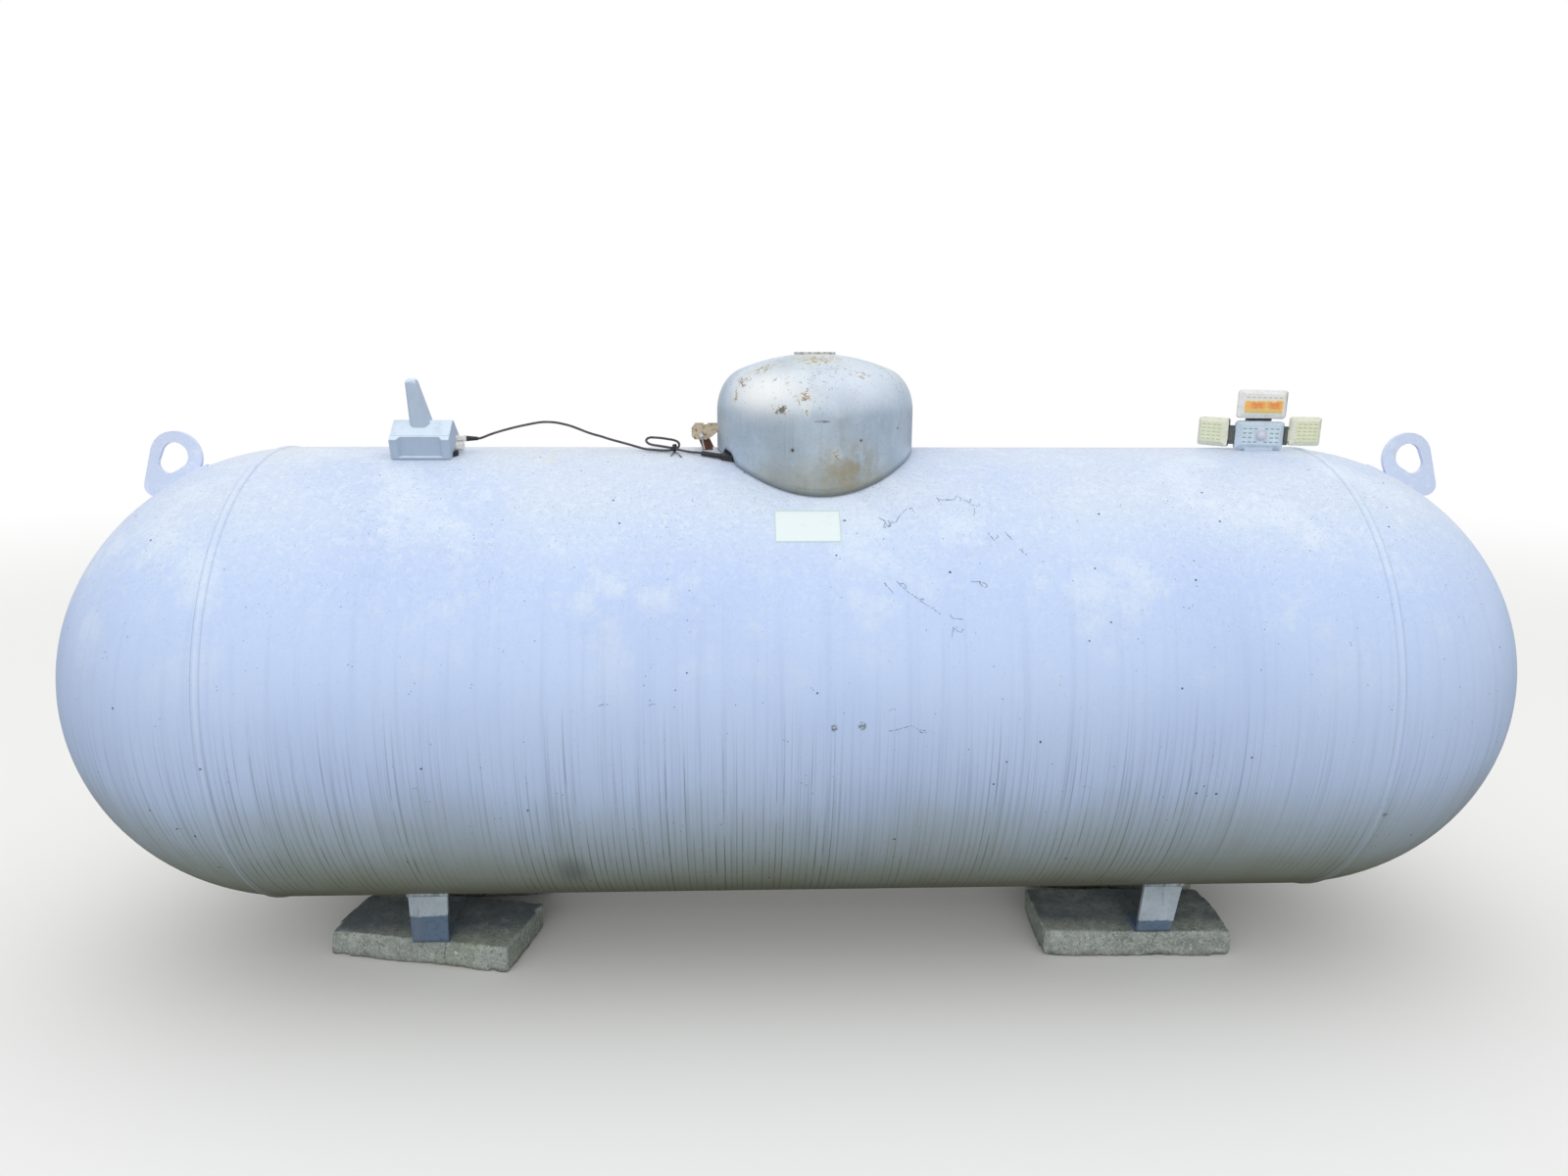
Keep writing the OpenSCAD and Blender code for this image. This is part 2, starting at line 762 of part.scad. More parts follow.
module data_cable() {
    n = len(route);
    s = cable_sides;
    path = [for (p = route) [p[0], p[1], axis_z + p[2]]];
    heading = [for (i = [0 : n - 1]) unit_vector(path[min(i + 1, n - 1)] - path[max(i - 1, 0)])];
    // Each ring's first direction is the one before it, turned square to the route
    function carried(i, v) = i == 0
        ? v
        : let (w = carried(i - 1, v)) unit_vector(w - (w * heading[i]) * heading[i]);
    normals = [for (i = [0 : n - 1]) carried(i, across(heading[0]))];
    points = [for (i = [0 : n - 1]) let (u = normals[i], w = cross(heading[i], u))
        for (k = [0 : s - 1]) path[i] + cable_r * (cos(k * 360 / s) * u + sin(k * 360 / s) * w)];
    faces = concat(
        [[for (k = [s - 1 : -1 : 0]) k]],
        [for (i = [0 : n - 2]) for (k = [0 : s - 1]) let (j = (k + 1) % s) each [
            [i * s + k, i * s + j, (i + 1) * s + k], [i * s + j, (i + 1) * s + j, (i + 1) * s + k]
        ]],
        [[for (k = [0 : s - 1]) (n - 1) * s + k]]
    );
    color("dimgray") polyhedron(points, faces, convexity = 10);
}

// A bar from one point to another, given over the tank's axis
module bar(from, to, r, h = 0) {
    d = to - from;
    translate([from[0], from[1], from[2] + axis_z])
        rotate([0, acos(d[2] / norm(d)), atan2(d[1], d[0])]) cylinder(r = r, h = h > 0 ? h : norm(d));
}

module cable_sleeve() {
    color("black") difference() {
        bar(sleeve_from, sleeve_to, sleeve_r);
        bar(2 * sleeve_from - sleeve_to, sleeve_to, cable_r + 0.4, 140);
    }
}

// The moulded joint that goes under the hood's rim
module cable_connector() {
    color("black") translate([-146, -122, axis_z + 467]) rotate([14, 0, -30]) difference() {
        translate([-14, -7, -5]) cube([26, 14, 10]);
        translate([-20, 0, 0]) rotate([0, 90, 0]) cylinder(r = 4, h = 40);
    }
}

module cable_tie() {
    color("black") translate([-257, -66, axis_z + 480.5]) rotate([0, 0, -12]) difference() {
        translate([-2.5, -10, -8]) cube([5, 20, 16]);
        translate([-5, -8.7, -6.7]) cube([10, 17.4, 13.4]);
    }
}

// Lamp: bevelled housings with a lens each, the side heads on upright pins, the top head on a level one

module on_lamp() {
    translate([lamp_x, lamp_y, lamp_z]) rotate([0, lamp_lean, 0]) children();
}

// A housing's section: over the bevel and the waist to the narrower back
function housing_section(half) = [
    [-half + lamp_bevel, 0], [-half, lamp_rim], [-half, lamp_waist], [-half + lamp_back_in, lamp_depth],
    [half - lamp_back_in, lamp_depth], [half, lamp_waist], [half, lamp_rim], [half - lamp_bevel, 0]
];

module rounded_oblong(w, h, r) {
    translate([-w / 2 + r, 0]) square([w - 2 * r, h]);
    translate([-w / 2, r]) square([w, h - 2 * r]);
    for (x = [-w / 2 + r, w / 2 - r]) for (y = [r, h - r]) translate([x, y]) circle(r, $fn = 48);
}

// A housing whose face is at y = 0, its middle at x = 0, standing on z = 0, with the lens's pocket
module housing(w, h) {
    difference() {
        intersection() {
            linear_extrude(h) polygon(housing_section(w / 2));
            translate([-w / 2, 0, h / 2]) rotate([0, 90, 0])
                linear_extrude(w) polygon(housing_section(h / 2));
            translate([0, lamp_depth + 1, 0]) rotate([90, 0, 0])
                linear_extrude(lamp_depth + 2) rounded_oblong(w, h, lamp_corner);
        }
        translate([-w / 2 + lens_inset, -1, lens_inset])
            cube([w - 2 * lens_inset, 1 + lens_deep, h - 2 * lens_inset]);
    }
}

module lens(w, h) {
    translate([-w / 2 + lens_inset, -lens_proud, lens_inset])
        cube([w - 2 * lens_inset, lens_deep + lens_proud, h - 2 * lens_inset]);
}

// The middle housing's eyes for the side heads, one above and one below each head's knuckle
module side_eyes(z) {
    reach = side_pivot_x - lamp_w / 2;
    for (side = [-1, 1]) {
        translate([side * side_pivot_x, side_pivot_y, z]) cylinder(r = barrel_r, h = eye_h, $fn = 48);
        translate([side > 0 ? lamp_w / 2 - 2 : -side_pivot_x, side_pivot_y - 3, z])
            cube([reach + 2, 6, eye_h]);
    }
}

// The two ears and the level pin that the top head tilts on
module top_ears() {
    ear_x = 20;
    ear_w = 6;
    for (side = [-1, 1]) {
        left = side > 0 ? ear_x : -ear_x - ear_w;
        translate([left, top_pivot_y, top_pivot_z]) rotate([0, 90, 0])
            cylinder(r = barrel_r, h = ear_w, $fn = 48);
        translate([left, top_pivot_y - barrel_r, lamp_h - 14]) cube([ear_w, 2 * barrel_r, 18]);
    }
    translate([-ear_x - 2, top_pivot_y, top_pivot_z]) rotate([0, 90, 0])
        cylinder(r = lamp_pin_r, h = 2 * ear_x + 4, $fn = 48);
}

module lamp_body() {
    color("silver") difference() {
        on_lamp() {
            housing(lamp_w, lamp_h);
            side_eyes(eye_low);
            side_eyes(eye_high);
            for (side = [-1, 1]) translate([side * side_pivot_x, side_pivot_y, eye_low + eye_h - 1])
                cylinder(r = lamp_pin_r, h = eye_high - eye_low - eye_h + 2, $fn = 48);
            top_ears();
            translate([-30, 3, -8]) cube([60, lamp_depth - 6, 22]);
        }
        tank_solid();
    }
}

module lamp_lens() {
    color("lightblue") on_lamp() difference() {
        lens(lamp_w, lamp_h);
        translate([-sensor_w / 2, -2, (lamp_h - sensor_h) / 2]) cube([sensor_w, 8, sensor_h]);
    }
}

// The sensor's dome on its oblong base
module lamp_sensor() {
    base = lens_deep + 1.2;
    color("white") on_lamp() translate([0, lens_deep, lamp_h / 2]) rotate([90, 0, 0]) {
        translate([-sensor_w / 2, -sensor_h / 2, 0]) cube([sensor_w, sensor_h, base]);
        translate([0, 0, base]) cylinder(r = sensor_r, h = 1);
        translate([0, 0, base + 1]) intersection() {
            sphere(sensor_r - 0.8, $fn = 64);
            translate([-20, -20, 0]) cube([40, 40, 20]);
        }
    }
}

// A side head hangs on its pin: its own frame is the pin, and it reaches away from the middle
function side_lift(side) = side < 0 ? left_lift : right_lift;

module side_head_place(side) {
    turn = side < 0 ? -lamp_left_turn : lamp_right_turn;
    on_lamp() translate([side * side_pivot_x, side_pivot_y, side_lift(side)]) rotate(turn)
        translate([side * (side_gap + side_w / 2), -side_pivot_y, 0]) children();
}

module side_head(side) {
    knuckle_low = eye_low + eye_h + 0.5 - side_lift(side);
    knuckle_h = eye_high - eye_low - eye_h - 1;
    to_pin = side_gap + side_w / 2;
    side_head_place(side) difference() {
        union() {
            housing(side_w, side_h);
            translate([-side * to_pin, side_pivot_y, knuckle_low])
                cylinder(r = barrel_r, h = knuckle_h, $fn = 48);
            translate([side > 0 ? -to_pin : side_w / 2 - 3, side_pivot_y - 2.5, knuckle_low])
                cube([side_gap + 3, 5, knuckle_h]);
        }
        translate([-side * to_pin, side_pivot_y, knuckle_low - 1])
            cylinder(r = lamp_pin_r + pin_clear, h = knuckle_h + 2, $fn = 48);
    }
}

module lamp_head_left() {
    color("beige") side_head(-1);
}

module lamp_head_right() {
    color("beige") side_head(1);
}

module lamp_lens_left() {
    color("lightyellow") side_head_place(-1) lens(side_w, side_h);
}

module lamp_lens_right() {
    color("lightyellow") side_head_place(1) lens(side_w, side_h);
}

module lamp_head_top() {
    half = 19;
    color("whitesmoke") on_lamp() difference() {
        union() {
            translate([0, 0, lamp_h + top_lift]) housing(lamp_w, top_h);
            translate([-half, top_pivot_y, top_pivot_z]) rotate([0, 90, 0])
                cylinder(r = barrel_r, h = 2 * half, $fn = 48);
            translate([-half, top_pivot_y - 2, top_pivot_z]) cube([2 * half, 6, 22]);
        }
        translate([-half - 11, top_pivot_y, top_pivot_z]) rotate([0, 90, 0])
            cylinder(r = lamp_pin_r + pin_clear, h = 2 * half + 22, $fn = 48);
    }
}

module lamp_lens_top() {
    color("orange") on_lamp() translate([0, 0, lamp_h + top_lift]) lens(lamp_w, top_h);
}

shell();
head_left();
head_right();
girth_welds();
lifting_lug_left();
lifting_lug_right();
leg_front_left();
leg_front_right();
leg_rear_left();
leg_rear_right();
block_front_left();
block_front_right();
block_rear_left();
block_rear_right();
couplings();
relief_valve();
relief_cap();
fill_valve();
fill_cap();
service_valve();
service_handwheel();
liquid_valve();
gauge_flange();
gauge_dial();
hinge_lugs();
hinge_pin();
hood();
hood_tabs();
hood_button();
unit_case();
unit_front();
unit_antenna();
unit_gland();
unit_feet();
cable_boot();
data_cable();
cable_tie();
cable_sleeve();
cable_connector();
lamp_body();
lamp_lens();
lamp_sensor();
lamp_head_left();
lamp_lens_left();
lamp_head_right();
lamp_lens_right();
lamp_head_top();
lamp_lens_top();
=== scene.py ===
"""Looks of a horizontal pressure tank on concrete blocks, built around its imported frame."""

import math

import bmesh
import bpy
from mathutils import Matrix, Vector, noise


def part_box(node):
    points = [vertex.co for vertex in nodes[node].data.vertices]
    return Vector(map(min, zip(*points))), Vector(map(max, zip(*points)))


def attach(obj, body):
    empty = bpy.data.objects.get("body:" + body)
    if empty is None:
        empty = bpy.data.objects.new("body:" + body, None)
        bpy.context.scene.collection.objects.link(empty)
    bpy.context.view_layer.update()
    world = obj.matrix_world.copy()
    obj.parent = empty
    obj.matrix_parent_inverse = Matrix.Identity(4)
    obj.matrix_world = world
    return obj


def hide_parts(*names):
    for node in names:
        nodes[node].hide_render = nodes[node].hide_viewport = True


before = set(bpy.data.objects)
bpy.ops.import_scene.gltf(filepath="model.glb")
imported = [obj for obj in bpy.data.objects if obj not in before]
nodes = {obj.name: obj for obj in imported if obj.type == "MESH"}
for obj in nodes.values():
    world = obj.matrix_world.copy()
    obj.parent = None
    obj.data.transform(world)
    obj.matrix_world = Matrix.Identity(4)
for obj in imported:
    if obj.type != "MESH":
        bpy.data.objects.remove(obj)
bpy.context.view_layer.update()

# The tank's axis and radius, from the frame
shell_low, shell_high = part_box("shell")
AXIS_Z = (shell_low.z + shell_high.z) / 2
TANK_R = (shell_high.z - shell_low.z) / 2
CROWN_Z = shell_high.z
HEAD_CENTRE_X = 1.036
WELD_X = 1.068
LAMP_X = 0.967

# The distance between the dark runs down the tank's sides
RUN_PITCH = 0.0125

# noise_vector gives other values in each run unless it has a seed
noise.seed_set(7)

WHITE = (1, 1, 1, 1)


def rgba(*shown):
    """A colour as a picture shows it, from 0 to 255, as the linear colour that a shader takes."""
    shares = [c / 255 for c in shown]
    return (*[c / 12.92 if c <= 0.04045 else ((c + 0.055) / 1.055) ** 2.4 for c in shares], 1.0)


class Tree:
    """Adds and links the nodes of a material or of the world."""

    def __init__(self, owner):
        owner.use_nodes = True
        self.nodes, self.links = owner.node_tree.nodes, owner.node_tree.links

    def feed(self, socket, value):
        """Puts a number or colour in a socket, or links the socket that gives it."""
        if isinstance(value, bpy.types.NodeSocket):
            self.links.new(value, socket)
        else:
            socket.default_value = value

    def add(self, kind, inputs=None, **settings):
        """Adds a node of a kind; its inputs are given by their names or their places."""
        node = self.nodes.new("ShaderNode" + kind)
        for name, value in settings.items():
            setattr(node, name, value)
        for key, value in (inputs or {}).items():
            self.feed(node.inputs[key], value)
        return node

    def math(self, operation, a, b=0.0):
        return self.add("Math", {0: a, 1: b}, operation=operation).outputs[0]

    def plus(self, a, b):
        return self.math("ADD", a, b)

    def minus(self, a, b):
        return self.math("SUBTRACT", a, b)

    def size(self, a):
        return self.math("ABSOLUTE", a)

    def times(self, *values):
        product = values[0]
        for value in values[1:]:
            product = self.math("MULTIPLY", product, value)
        return product

    def vector_math(self, operation, a, b=(0, 0, 0)):
        return self.add("VectorMath", {0: a, 1: b}, operation=operation).outputs

    def step(self, value, low, high, at_low=0.0, at_high=1.0):
        """0 where the value is at low, 1 where it is at high, or the values given, smooth in between."""
        inputs = {"Value": value, "From Min": low, "From Max": high, "To Min": at_low, "To Max": at_high}
        return self.add("MapRange", inputs, interpolation_type="SMOOTHSTEP").outputs["Result"]


# Camera, light and floor


def add_camera():
    """The photograph's view: a wide lens just left of the middle, looking down a little."""
    place = Vector((-0.1151, -2.3186, 1.2414))
    turn, tilt, roll = math.radians(2.10), math.radians(12.015), math.radians(-0.227)
    forward = Vector((math.sin(turn) * math.cos(tilt), math.cos(turn) * math.cos(tilt), -math.sin(tilt)))
    level_right = Vector((math.cos(turn), -math.sin(turn), 0))
    level_up = level_right.cross(forward)
    right = math.cos(roll) * level_right - math.sin(roll) * level_up
    up = math.sin(roll) * level_right + math.cos(roll) * level_up
    data = bpy.data.cameras.new("camera")
    data.lens = 25.17
    data.sensor_width = 36
    camera = bpy.data.objects.new("camera", data)
    camera.matrix_world = Matrix.Translation(place) @ Matrix((right, up, -forward)).transposed().to_4x4()
    bpy.context.scene.collection.objects.link(camera)
    bpy.context.scene.camera = camera


def add_world():
    """Soft, nearly even light, and a white background for the camera."""
    world = bpy.data.worlds.new("studio")
    bpy.context.scene.world = world
    tree = Tree(world)
    tree.nodes.clear()
    sky = tree.add("TexCoord").outputs["Generated"]
    strength = tree.step(tree.add("SeparateXYZ", {0: sky}).outputs["Z"], -0.1, 0.8, 0.92, 1.0)
    light = tree.add("Background", {"Color": WHITE, "Strength": strength}).outputs[0]
    white = tree.add("Background", {"Color": WHITE}).outputs[0]
    for_camera = tree.add("LightPath").outputs["Is Camera Ray"]
    shown = tree.add("MixShader", {0: for_camera, 1: light, 2: white}).outputs[0]
    tree.add("OutputWorld", {"Surface": shown})


def add_light(name, place, target, size, power):
    data = bpy.data.lights.new(name, "AREA")
    data.shape = "RECTANGLE"
    data.size, data.size_y = size
    data.energy = power
    light = bpy.data.objects.new(name, data)
    light.location = place
    light.rotation_euler = (Vector(target) - Vector(place)).to_track_quat("-Z", "Y").to_euler()
    bpy.context.scene.collection.objects.link(light)


def add_floor():
    """A pale floor that fades into the white background, and throws little light up at the tank."""
    reach, fade_from, fade_to = 60, 3.2, 9.0
    corners = [(-reach, -reach, 0), (reach, -reach, 0), (reach, reach, 0), (-reach, reach, 0)]
    mesh = bpy.data.meshes.new("floor")
    mesh.from_pydata(corners, [], [(0, 1, 2, 3)])
    floor = bpy.data.objects.new("floor", mesh)
    bpy.context.scene.collection.objects.link(floor)
    material = bpy.data.materials.new("floor")
    tree = Tree(material)
    tree.nodes.clear()
    shown = tree.add("BsdfDiffuse", {"Color": rgba(236, 236, 234)}).outputs[0]
    thrown = tree.add("BsdfDiffuse", {"Color": rgba(134, 134, 130)}).outputs[0]
    for_camera = tree.add("LightPath").outputs["Is Camera Ray"]
    by_ray = tree.add("MixShader", {0: for_camera, 1: thrown, 2: shown}).outputs[0]
    away = tree.vector_math("LENGTH", tree.add("TexCoord").outputs["Object"])["Value"]
    faded = tree.times(tree.step(away, fade_from, fade_to), for_camera)
    white = tree.add("Emission", {"Color": WHITE}).outputs[0]
    surface = tree.add("MixShader", {0: faded, 1: by_ray, 2: white}).outputs[0]
    tree.add("OutputMaterial", {"Surface": surface})
    mesh.materials.append(material)


# Materials


class Look(Tree):
    """A material being made: a shader, with masks that tint its colour, roughness and relief."""

    def __init__(self, name, color, roughness, metallic=0.0, specular=0.5):
        self.material = bpy.data.materials.new(name)
        super().__init__(self.material)
        self.shader = self.nodes["Principled BSDF"]
        self.shader.inputs["Metallic"].default_value = metallic
        self.shader.inputs["Specular IOR Level"].default_value = specular
        self.color, self.roughness, self.normal = rgba(*color), roughness, None
        self.point = self.add("TexCoord").outputs["Object"]

    def axes(self, vector=None):
        return self.add("SeparateXYZ", {0: vector or self.point}).outputs

    def joined(self, x, y, z):
        return self.add("CombineXYZ", {0: x, 1: y, 2: z}).outputs[0]

    def stretched(self, x, y, z, shift=0.0):
        """The point with each axis scaled, so that a texture of scale 1 has that many features a metre."""
        inputs = {"Vector": self.point, "Scale": (x, y, z), "Location": (shift, shift, shift)}
        return self.add("Mapping", inputs).outputs[0]

    def moved(self, shift):
        """The point moved along, so that a texture shows another of its places."""
        return self.stretched(1, 1, 1, shift)

    def noise(self, scale, detail=3.0, rough=0.55, vector=None, warp=0.0):
        inputs = {"Vector": vector or self.point, "Scale": scale, "Detail": detail, "Roughness": rough}
        return self.add("TexNoise", {**inputs, "Distortion": warp}).outputs["Fac"]

    def mottle(self, low, high, scale, detail=3.0, rough=0.55, vector=None, warp=0.0):
        """Cloudy patches: 0 where a noise is at low, 1 where it is at high."""
        return self.step(self.noise(scale, detail, rough, vector, warp), low, high)

    def cells(self, scale, vector):
        """Distance to the nearest of many random points."""
        return self.add("TexVoronoi", {"Vector": vector, "Scale": scale}).outputs["Distance"]

    def random(self, number):
        """Three random values from 0 to 1 for a whole number."""
        node = self.add("TexWhiteNoise", noise_dimensions="1D")
        self.feed(node.inputs["W"], number)
        return self.axes(node.outputs["Color"])

    def facing_up(self, low, high):
        """1 on faces that look upwards."""
        return self.step(self.axes(self.add("NewGeometry").outputs["Normal"])[2], low, high)

    def near(self, place, radius, soft=0.5, squeeze=(1, 1, 1)):
        """1 at a place, 0 past a radius; squeeze makes the spot narrower along an axis."""
        away = self.vector_math("SUBTRACT", self.point, place)[0]
        length = self.vector_math("LENGTH", self.vector_math("MULTIPLY", away, squeeze)[0])["Value"]
        return self.step(length, radius, radius * (1 - soft))

    def specks(self, scale, size, share, seed=0.0):
        """Sparse ragged specks: a share of the cells has one, of that size in cells."""
        vector = self.moved(seed)
        chosen = self.mottle(1 - share, 1.02 - share, scale * 0.37, 1, 0.5, vector)
        ragged = self.times(self.cells(scale, vector), self.plus(self.noise(scale * 9, 3, 0.7), 0.5))
        return self.times(self.step(ragged, size, size * 0.6), chosen)

    def tint(self, masks, color, amount=1.0):
        """Lays a colour over the one so far, where the mask, or each of several, is 1."""
        masks = masks if isinstance(masks, tuple) else (masks,)
        factor = self.times(*masks, amount) if amount != 1 else self.times(*masks)
        self.color = self.add("Mix", {0: factor, 6: self.color, 7: rgba(*color)}, data_type="RGBA").outputs[2]

    def blotch(self, color, amount, *limits_and_noise, **more):
        """Lays a colour over the one so far, in cloudy patches."""
        self.tint(self.mottle(*limits_and_noise, **more), color, amount)

    def roughen(self, mask, value):
        self.roughness = self.add("Mix", {0: mask, 2: self.roughness, 3: value}).outputs[0]

    def relief(self, height, depth):
        """Bumps of that depth in metres, where the height is 1."""
        node = self.add("Bump", {"Strength": 1.0, "Distance": depth, "Height": height})
        if self.normal:
            self.links.new(self.normal, node.inputs["Normal"])
        self.normal = node.outputs[0]

    def coat(self, roughness, weight):
        """A clear glossy coat over it all."""
        self.shader.inputs["Coat Roughness"].default_value = roughness
        self.shader.inputs["Coat Weight"].default_value = weight

    def done(self):
        self.feed(self.shader.inputs["Base Color"], self.color)
        self.feed(self.shader.inputs["Roughness"], self.roughness)
        if self.normal:
            self.links.new(self.normal, self.shader.inputs["Normal"])
        return self.material


def tank_paint(name, head_side=0):
    """White paint: chalky and flecked above, blue-white in the middle, dark runs and a green film below,
    darkened partly as painted shade.
    """
    look = Look(name, (189, 209, 243), 0.45)
    x, y, z = look.axes()
    height = look.minus(z, AXIS_Z)
    if head_side:
        from_centre = look.minus(x, head_side * HEAD_CENTRE_X)
        along = look.times(look.math("ARCTAN2", y, from_centre), TANK_R)
        out = look.vector_math("LENGTH", look.joined(from_centre, y, 0.0))["Value"]
    else:
        along = x
        out = look.size(y)
    # The way down the tank's side, as a length along its round: 0 at its widest
    arc = look.times(look.math("ARCTAN2", height, out), TANK_R)
    side = look.times(look.step(y, -0.01, 0.01), 5.0)

    def lane(per_metre, down):
        return look.joined(look.times(along, per_metre), side, look.times(arc, down))

    # Tone from the crown to the belly, and large soft changes of it
    look.tint(look.step(arc, 0.24, 0.50), (204, 216, 233), 0.9)
    look.tint(look.step(arc, 0.56, 0.70), (214, 220, 228), 0.6)
    look.blotch((178, 197, 238), 0.40, 0.45, 0.68, 2.4, 3)
    worn = look.mottle(0.50, 0.66, 7, 5, 0.65)
    look.tint((worn, look.step(arc, 0.0, 0.3)), (216, 228, 242), 0.55)

    # Chalk and fine dark flecks, dense above
    upper = look.step(arc, 0.05, 0.50)
    chalk = look.mottle(0.50, 0.62, 70, 5, 0.75)
    look.tint((chalk, upper), (226, 235, 244), 0.36)
    dust = look.mottle(0.50, 0.62, 150, 4, 0.8, warp=0.5)
    dusty = look.plus(look.times(upper, 0.8), 0.2)
    look.tint((dust, dusty), (164, 176, 196), 0.28)
    patches = look.mottle(0.38, 0.62, 5, 3, 0.6, look.moved(4.0))
    flecks = look.mottle(0.62, 0.68, 230, 3, 0.7, look.moved(7.0), warp=0.4)
    flecked = look.plus(look.times(upper, patches, 0.7), 0.25)
    look.tint((flecks, flecked), (98, 106, 118), 0.62)

    # Broad faint runs, then thin ones side by side, each with its own start and strength
    faint = look.mottle(0.46, 0.72, 1.0, 3, 0.6, lane(48, 1.2))
    look.tint((faint, look.step(arc, 0.40, 0.05)), (168, 186, 224), 0.35)
    finer = look.mottle(0.52, 0.66, 1.0, 1.5, 0.5, lane(150, 1.6))
    look.tint((finer, look.step(arc, 0.10, -0.12)), (134, 152, 176), 0.34)
    drift = look.times(look.noise(1.0, 2, 0.5, lane(11, 0.5)), 2.2)
    place = look.plus(look.times(along, 1 / RUN_PITCH), drift)
    number = look.plus(look.math("FLOOR", place), side)
    beside = look.size(look.minus(look.math("FRACT", place), 0.5))
    start, strength, width = look.random(number)
    lowered = look.plus(arc, look.times(look.minus(start, 0.3), 0.24))
    group = look.mottle(0.34, 0.58, 1.0, 2, 0.5, lane(2.6, 0.4))
    broken = look.mottle(0.30, 0.52, 1.0, 2, 0.5, lane(70, 9))
    line = look.step(look.minus(beside, look.times(width, 0.05)), 0.11, 0.01)
    strong = look.times(group, look.plus(look.times(strength, 0.7), 0.2))
    runs = look.times(line, look.step(lowered, 0.06, -0.14), look.plus(strong, 0.1), broken)
    look.tint(runs, (104, 122, 142), 0.45 if head_side else 0.72)

    # Green and tan film round the belly, darker downwards: partly real film, partly painted shade of the
    # underside
    uneven = look.plus(arc, look.times(look.minus(look.noise(4, 4, 0.6), 0.5), 0.14))
    look.tint(look.step(uneven, -0.06, -0.24), (158, 170, 164), 0.60)
    look.tint(look.step(uneven, -0.20, -0.38), (142, 148, 126), 0.75)
    look.tint(look.step(uneven, -0.34, -0.46), (112, 110, 86), 0.60)
    look.tint((runs, look.step(arc, -0.12, -0.30)), (76, 82, 70), 0.60)

    # A few larger specks and chips
    look.tint(look.specks(120, 0.18, 0.34), (84, 92, 100), 0.8)
    look.tint(look.specks(26, 0.075, 0.46, 3.0), (44, 46, 50), 0.9)

    look.relief(look.noise(420, 2, 0.6), 0.0002)
    look.relief(look.noise(9, 3, 0.5), 0.0005)
    look.roughen(look.times(dust, upper), 0.65)
    look.roughen(look.math("MAXIMUM", runs, look.step(uneven, -0.15, -0.35)), 0.75)
    return look, arc


def shell_paint():
    """The shell's paint, with its chips and stains."""
    look, arc = tank_paint("shell_paint")
    for place, radius in (((0.042, -0.4748, 0.0205), 0.009), ((0.0925, -0.4746, 0.0237), 0.010)):
        spot = look.near((place[0], place[1], place[2] + AXIS_Z), radius, 0.6)
        look.tint((spot, look.mottle(0.42, 0.55, 160, 3)), (104, 110, 96), 0.9)
    # A tan run by the cable, and a dark stain under the belly
    by_cable = look.near((-0.500, -0.115, AXIS_Z + 0.461), 0.05, 0.9, (2.4, 1, 1))
    look.tint(by_cable, (214, 206, 188), 0.25)
    stain = look.near((-0.445, -0.366, AXIS_Z - 0.303), 0.075, 0.9, (1.6, 1, 0.8))
    look.tint(stain, (104, 114, 112), 0.6)
    return look.done()


def head_paint(side):
    look, arc = tank_paint("head_paint_right" if side > 0 else "head_paint_left", side)
    if side > 0:
        chip = look.near((1.064, -0.473, AXIS_Z - 0.047), 0.010, 0.4, (1, 1, 0.7))
        look.tint(chip, (96, 96, 104), 0.8)
        smear = look.near((1.074, -0.443, AXIS_Z - 0.171), 0.012, 0.4, (0.7, 1, 2))
        look.tint(smear, (108, 124, 132), 0.7)
    return look.done()


def weld_paint():
    """The same paint over a weld, darker along both of its edges and paler along its middle."""
    look, arc = tank_paint("weld_paint")
    x = look.axes()[0]
    from_middle = look.size(look.minus(look.size(x), WELD_X))
    look.tint(look.step(from_middle, 0.0045, 0.0085), (158, 174, 202), 0.45)
    look.tint(look.step(from_middle, 0.0030, 0.0), (214, 226, 246), 0.30)
    look.relief(look.noise(1.0, 2, 0.5, look.joined(0.0, 0.0, look.times(arc, 130))), 0.0006)
    return look.done()


def lug_paint():
    look = Look("lug_paint", (208, 220, 244), 0.4)
    look.blotch((232, 238, 250), 0.5, 0.5, 0.7, 60, 5, 0.7)
    look.tint(look.specks(320, 0.22, 0.5), (120, 126, 134), 0.6)
    look.blotch((196, 190, 176), 0.4, 0.62, 0.75, 30, 4, 0.7, warp=0.5)
    look.relief(look.noise(260, 3), 0.0003)
    return look.done()


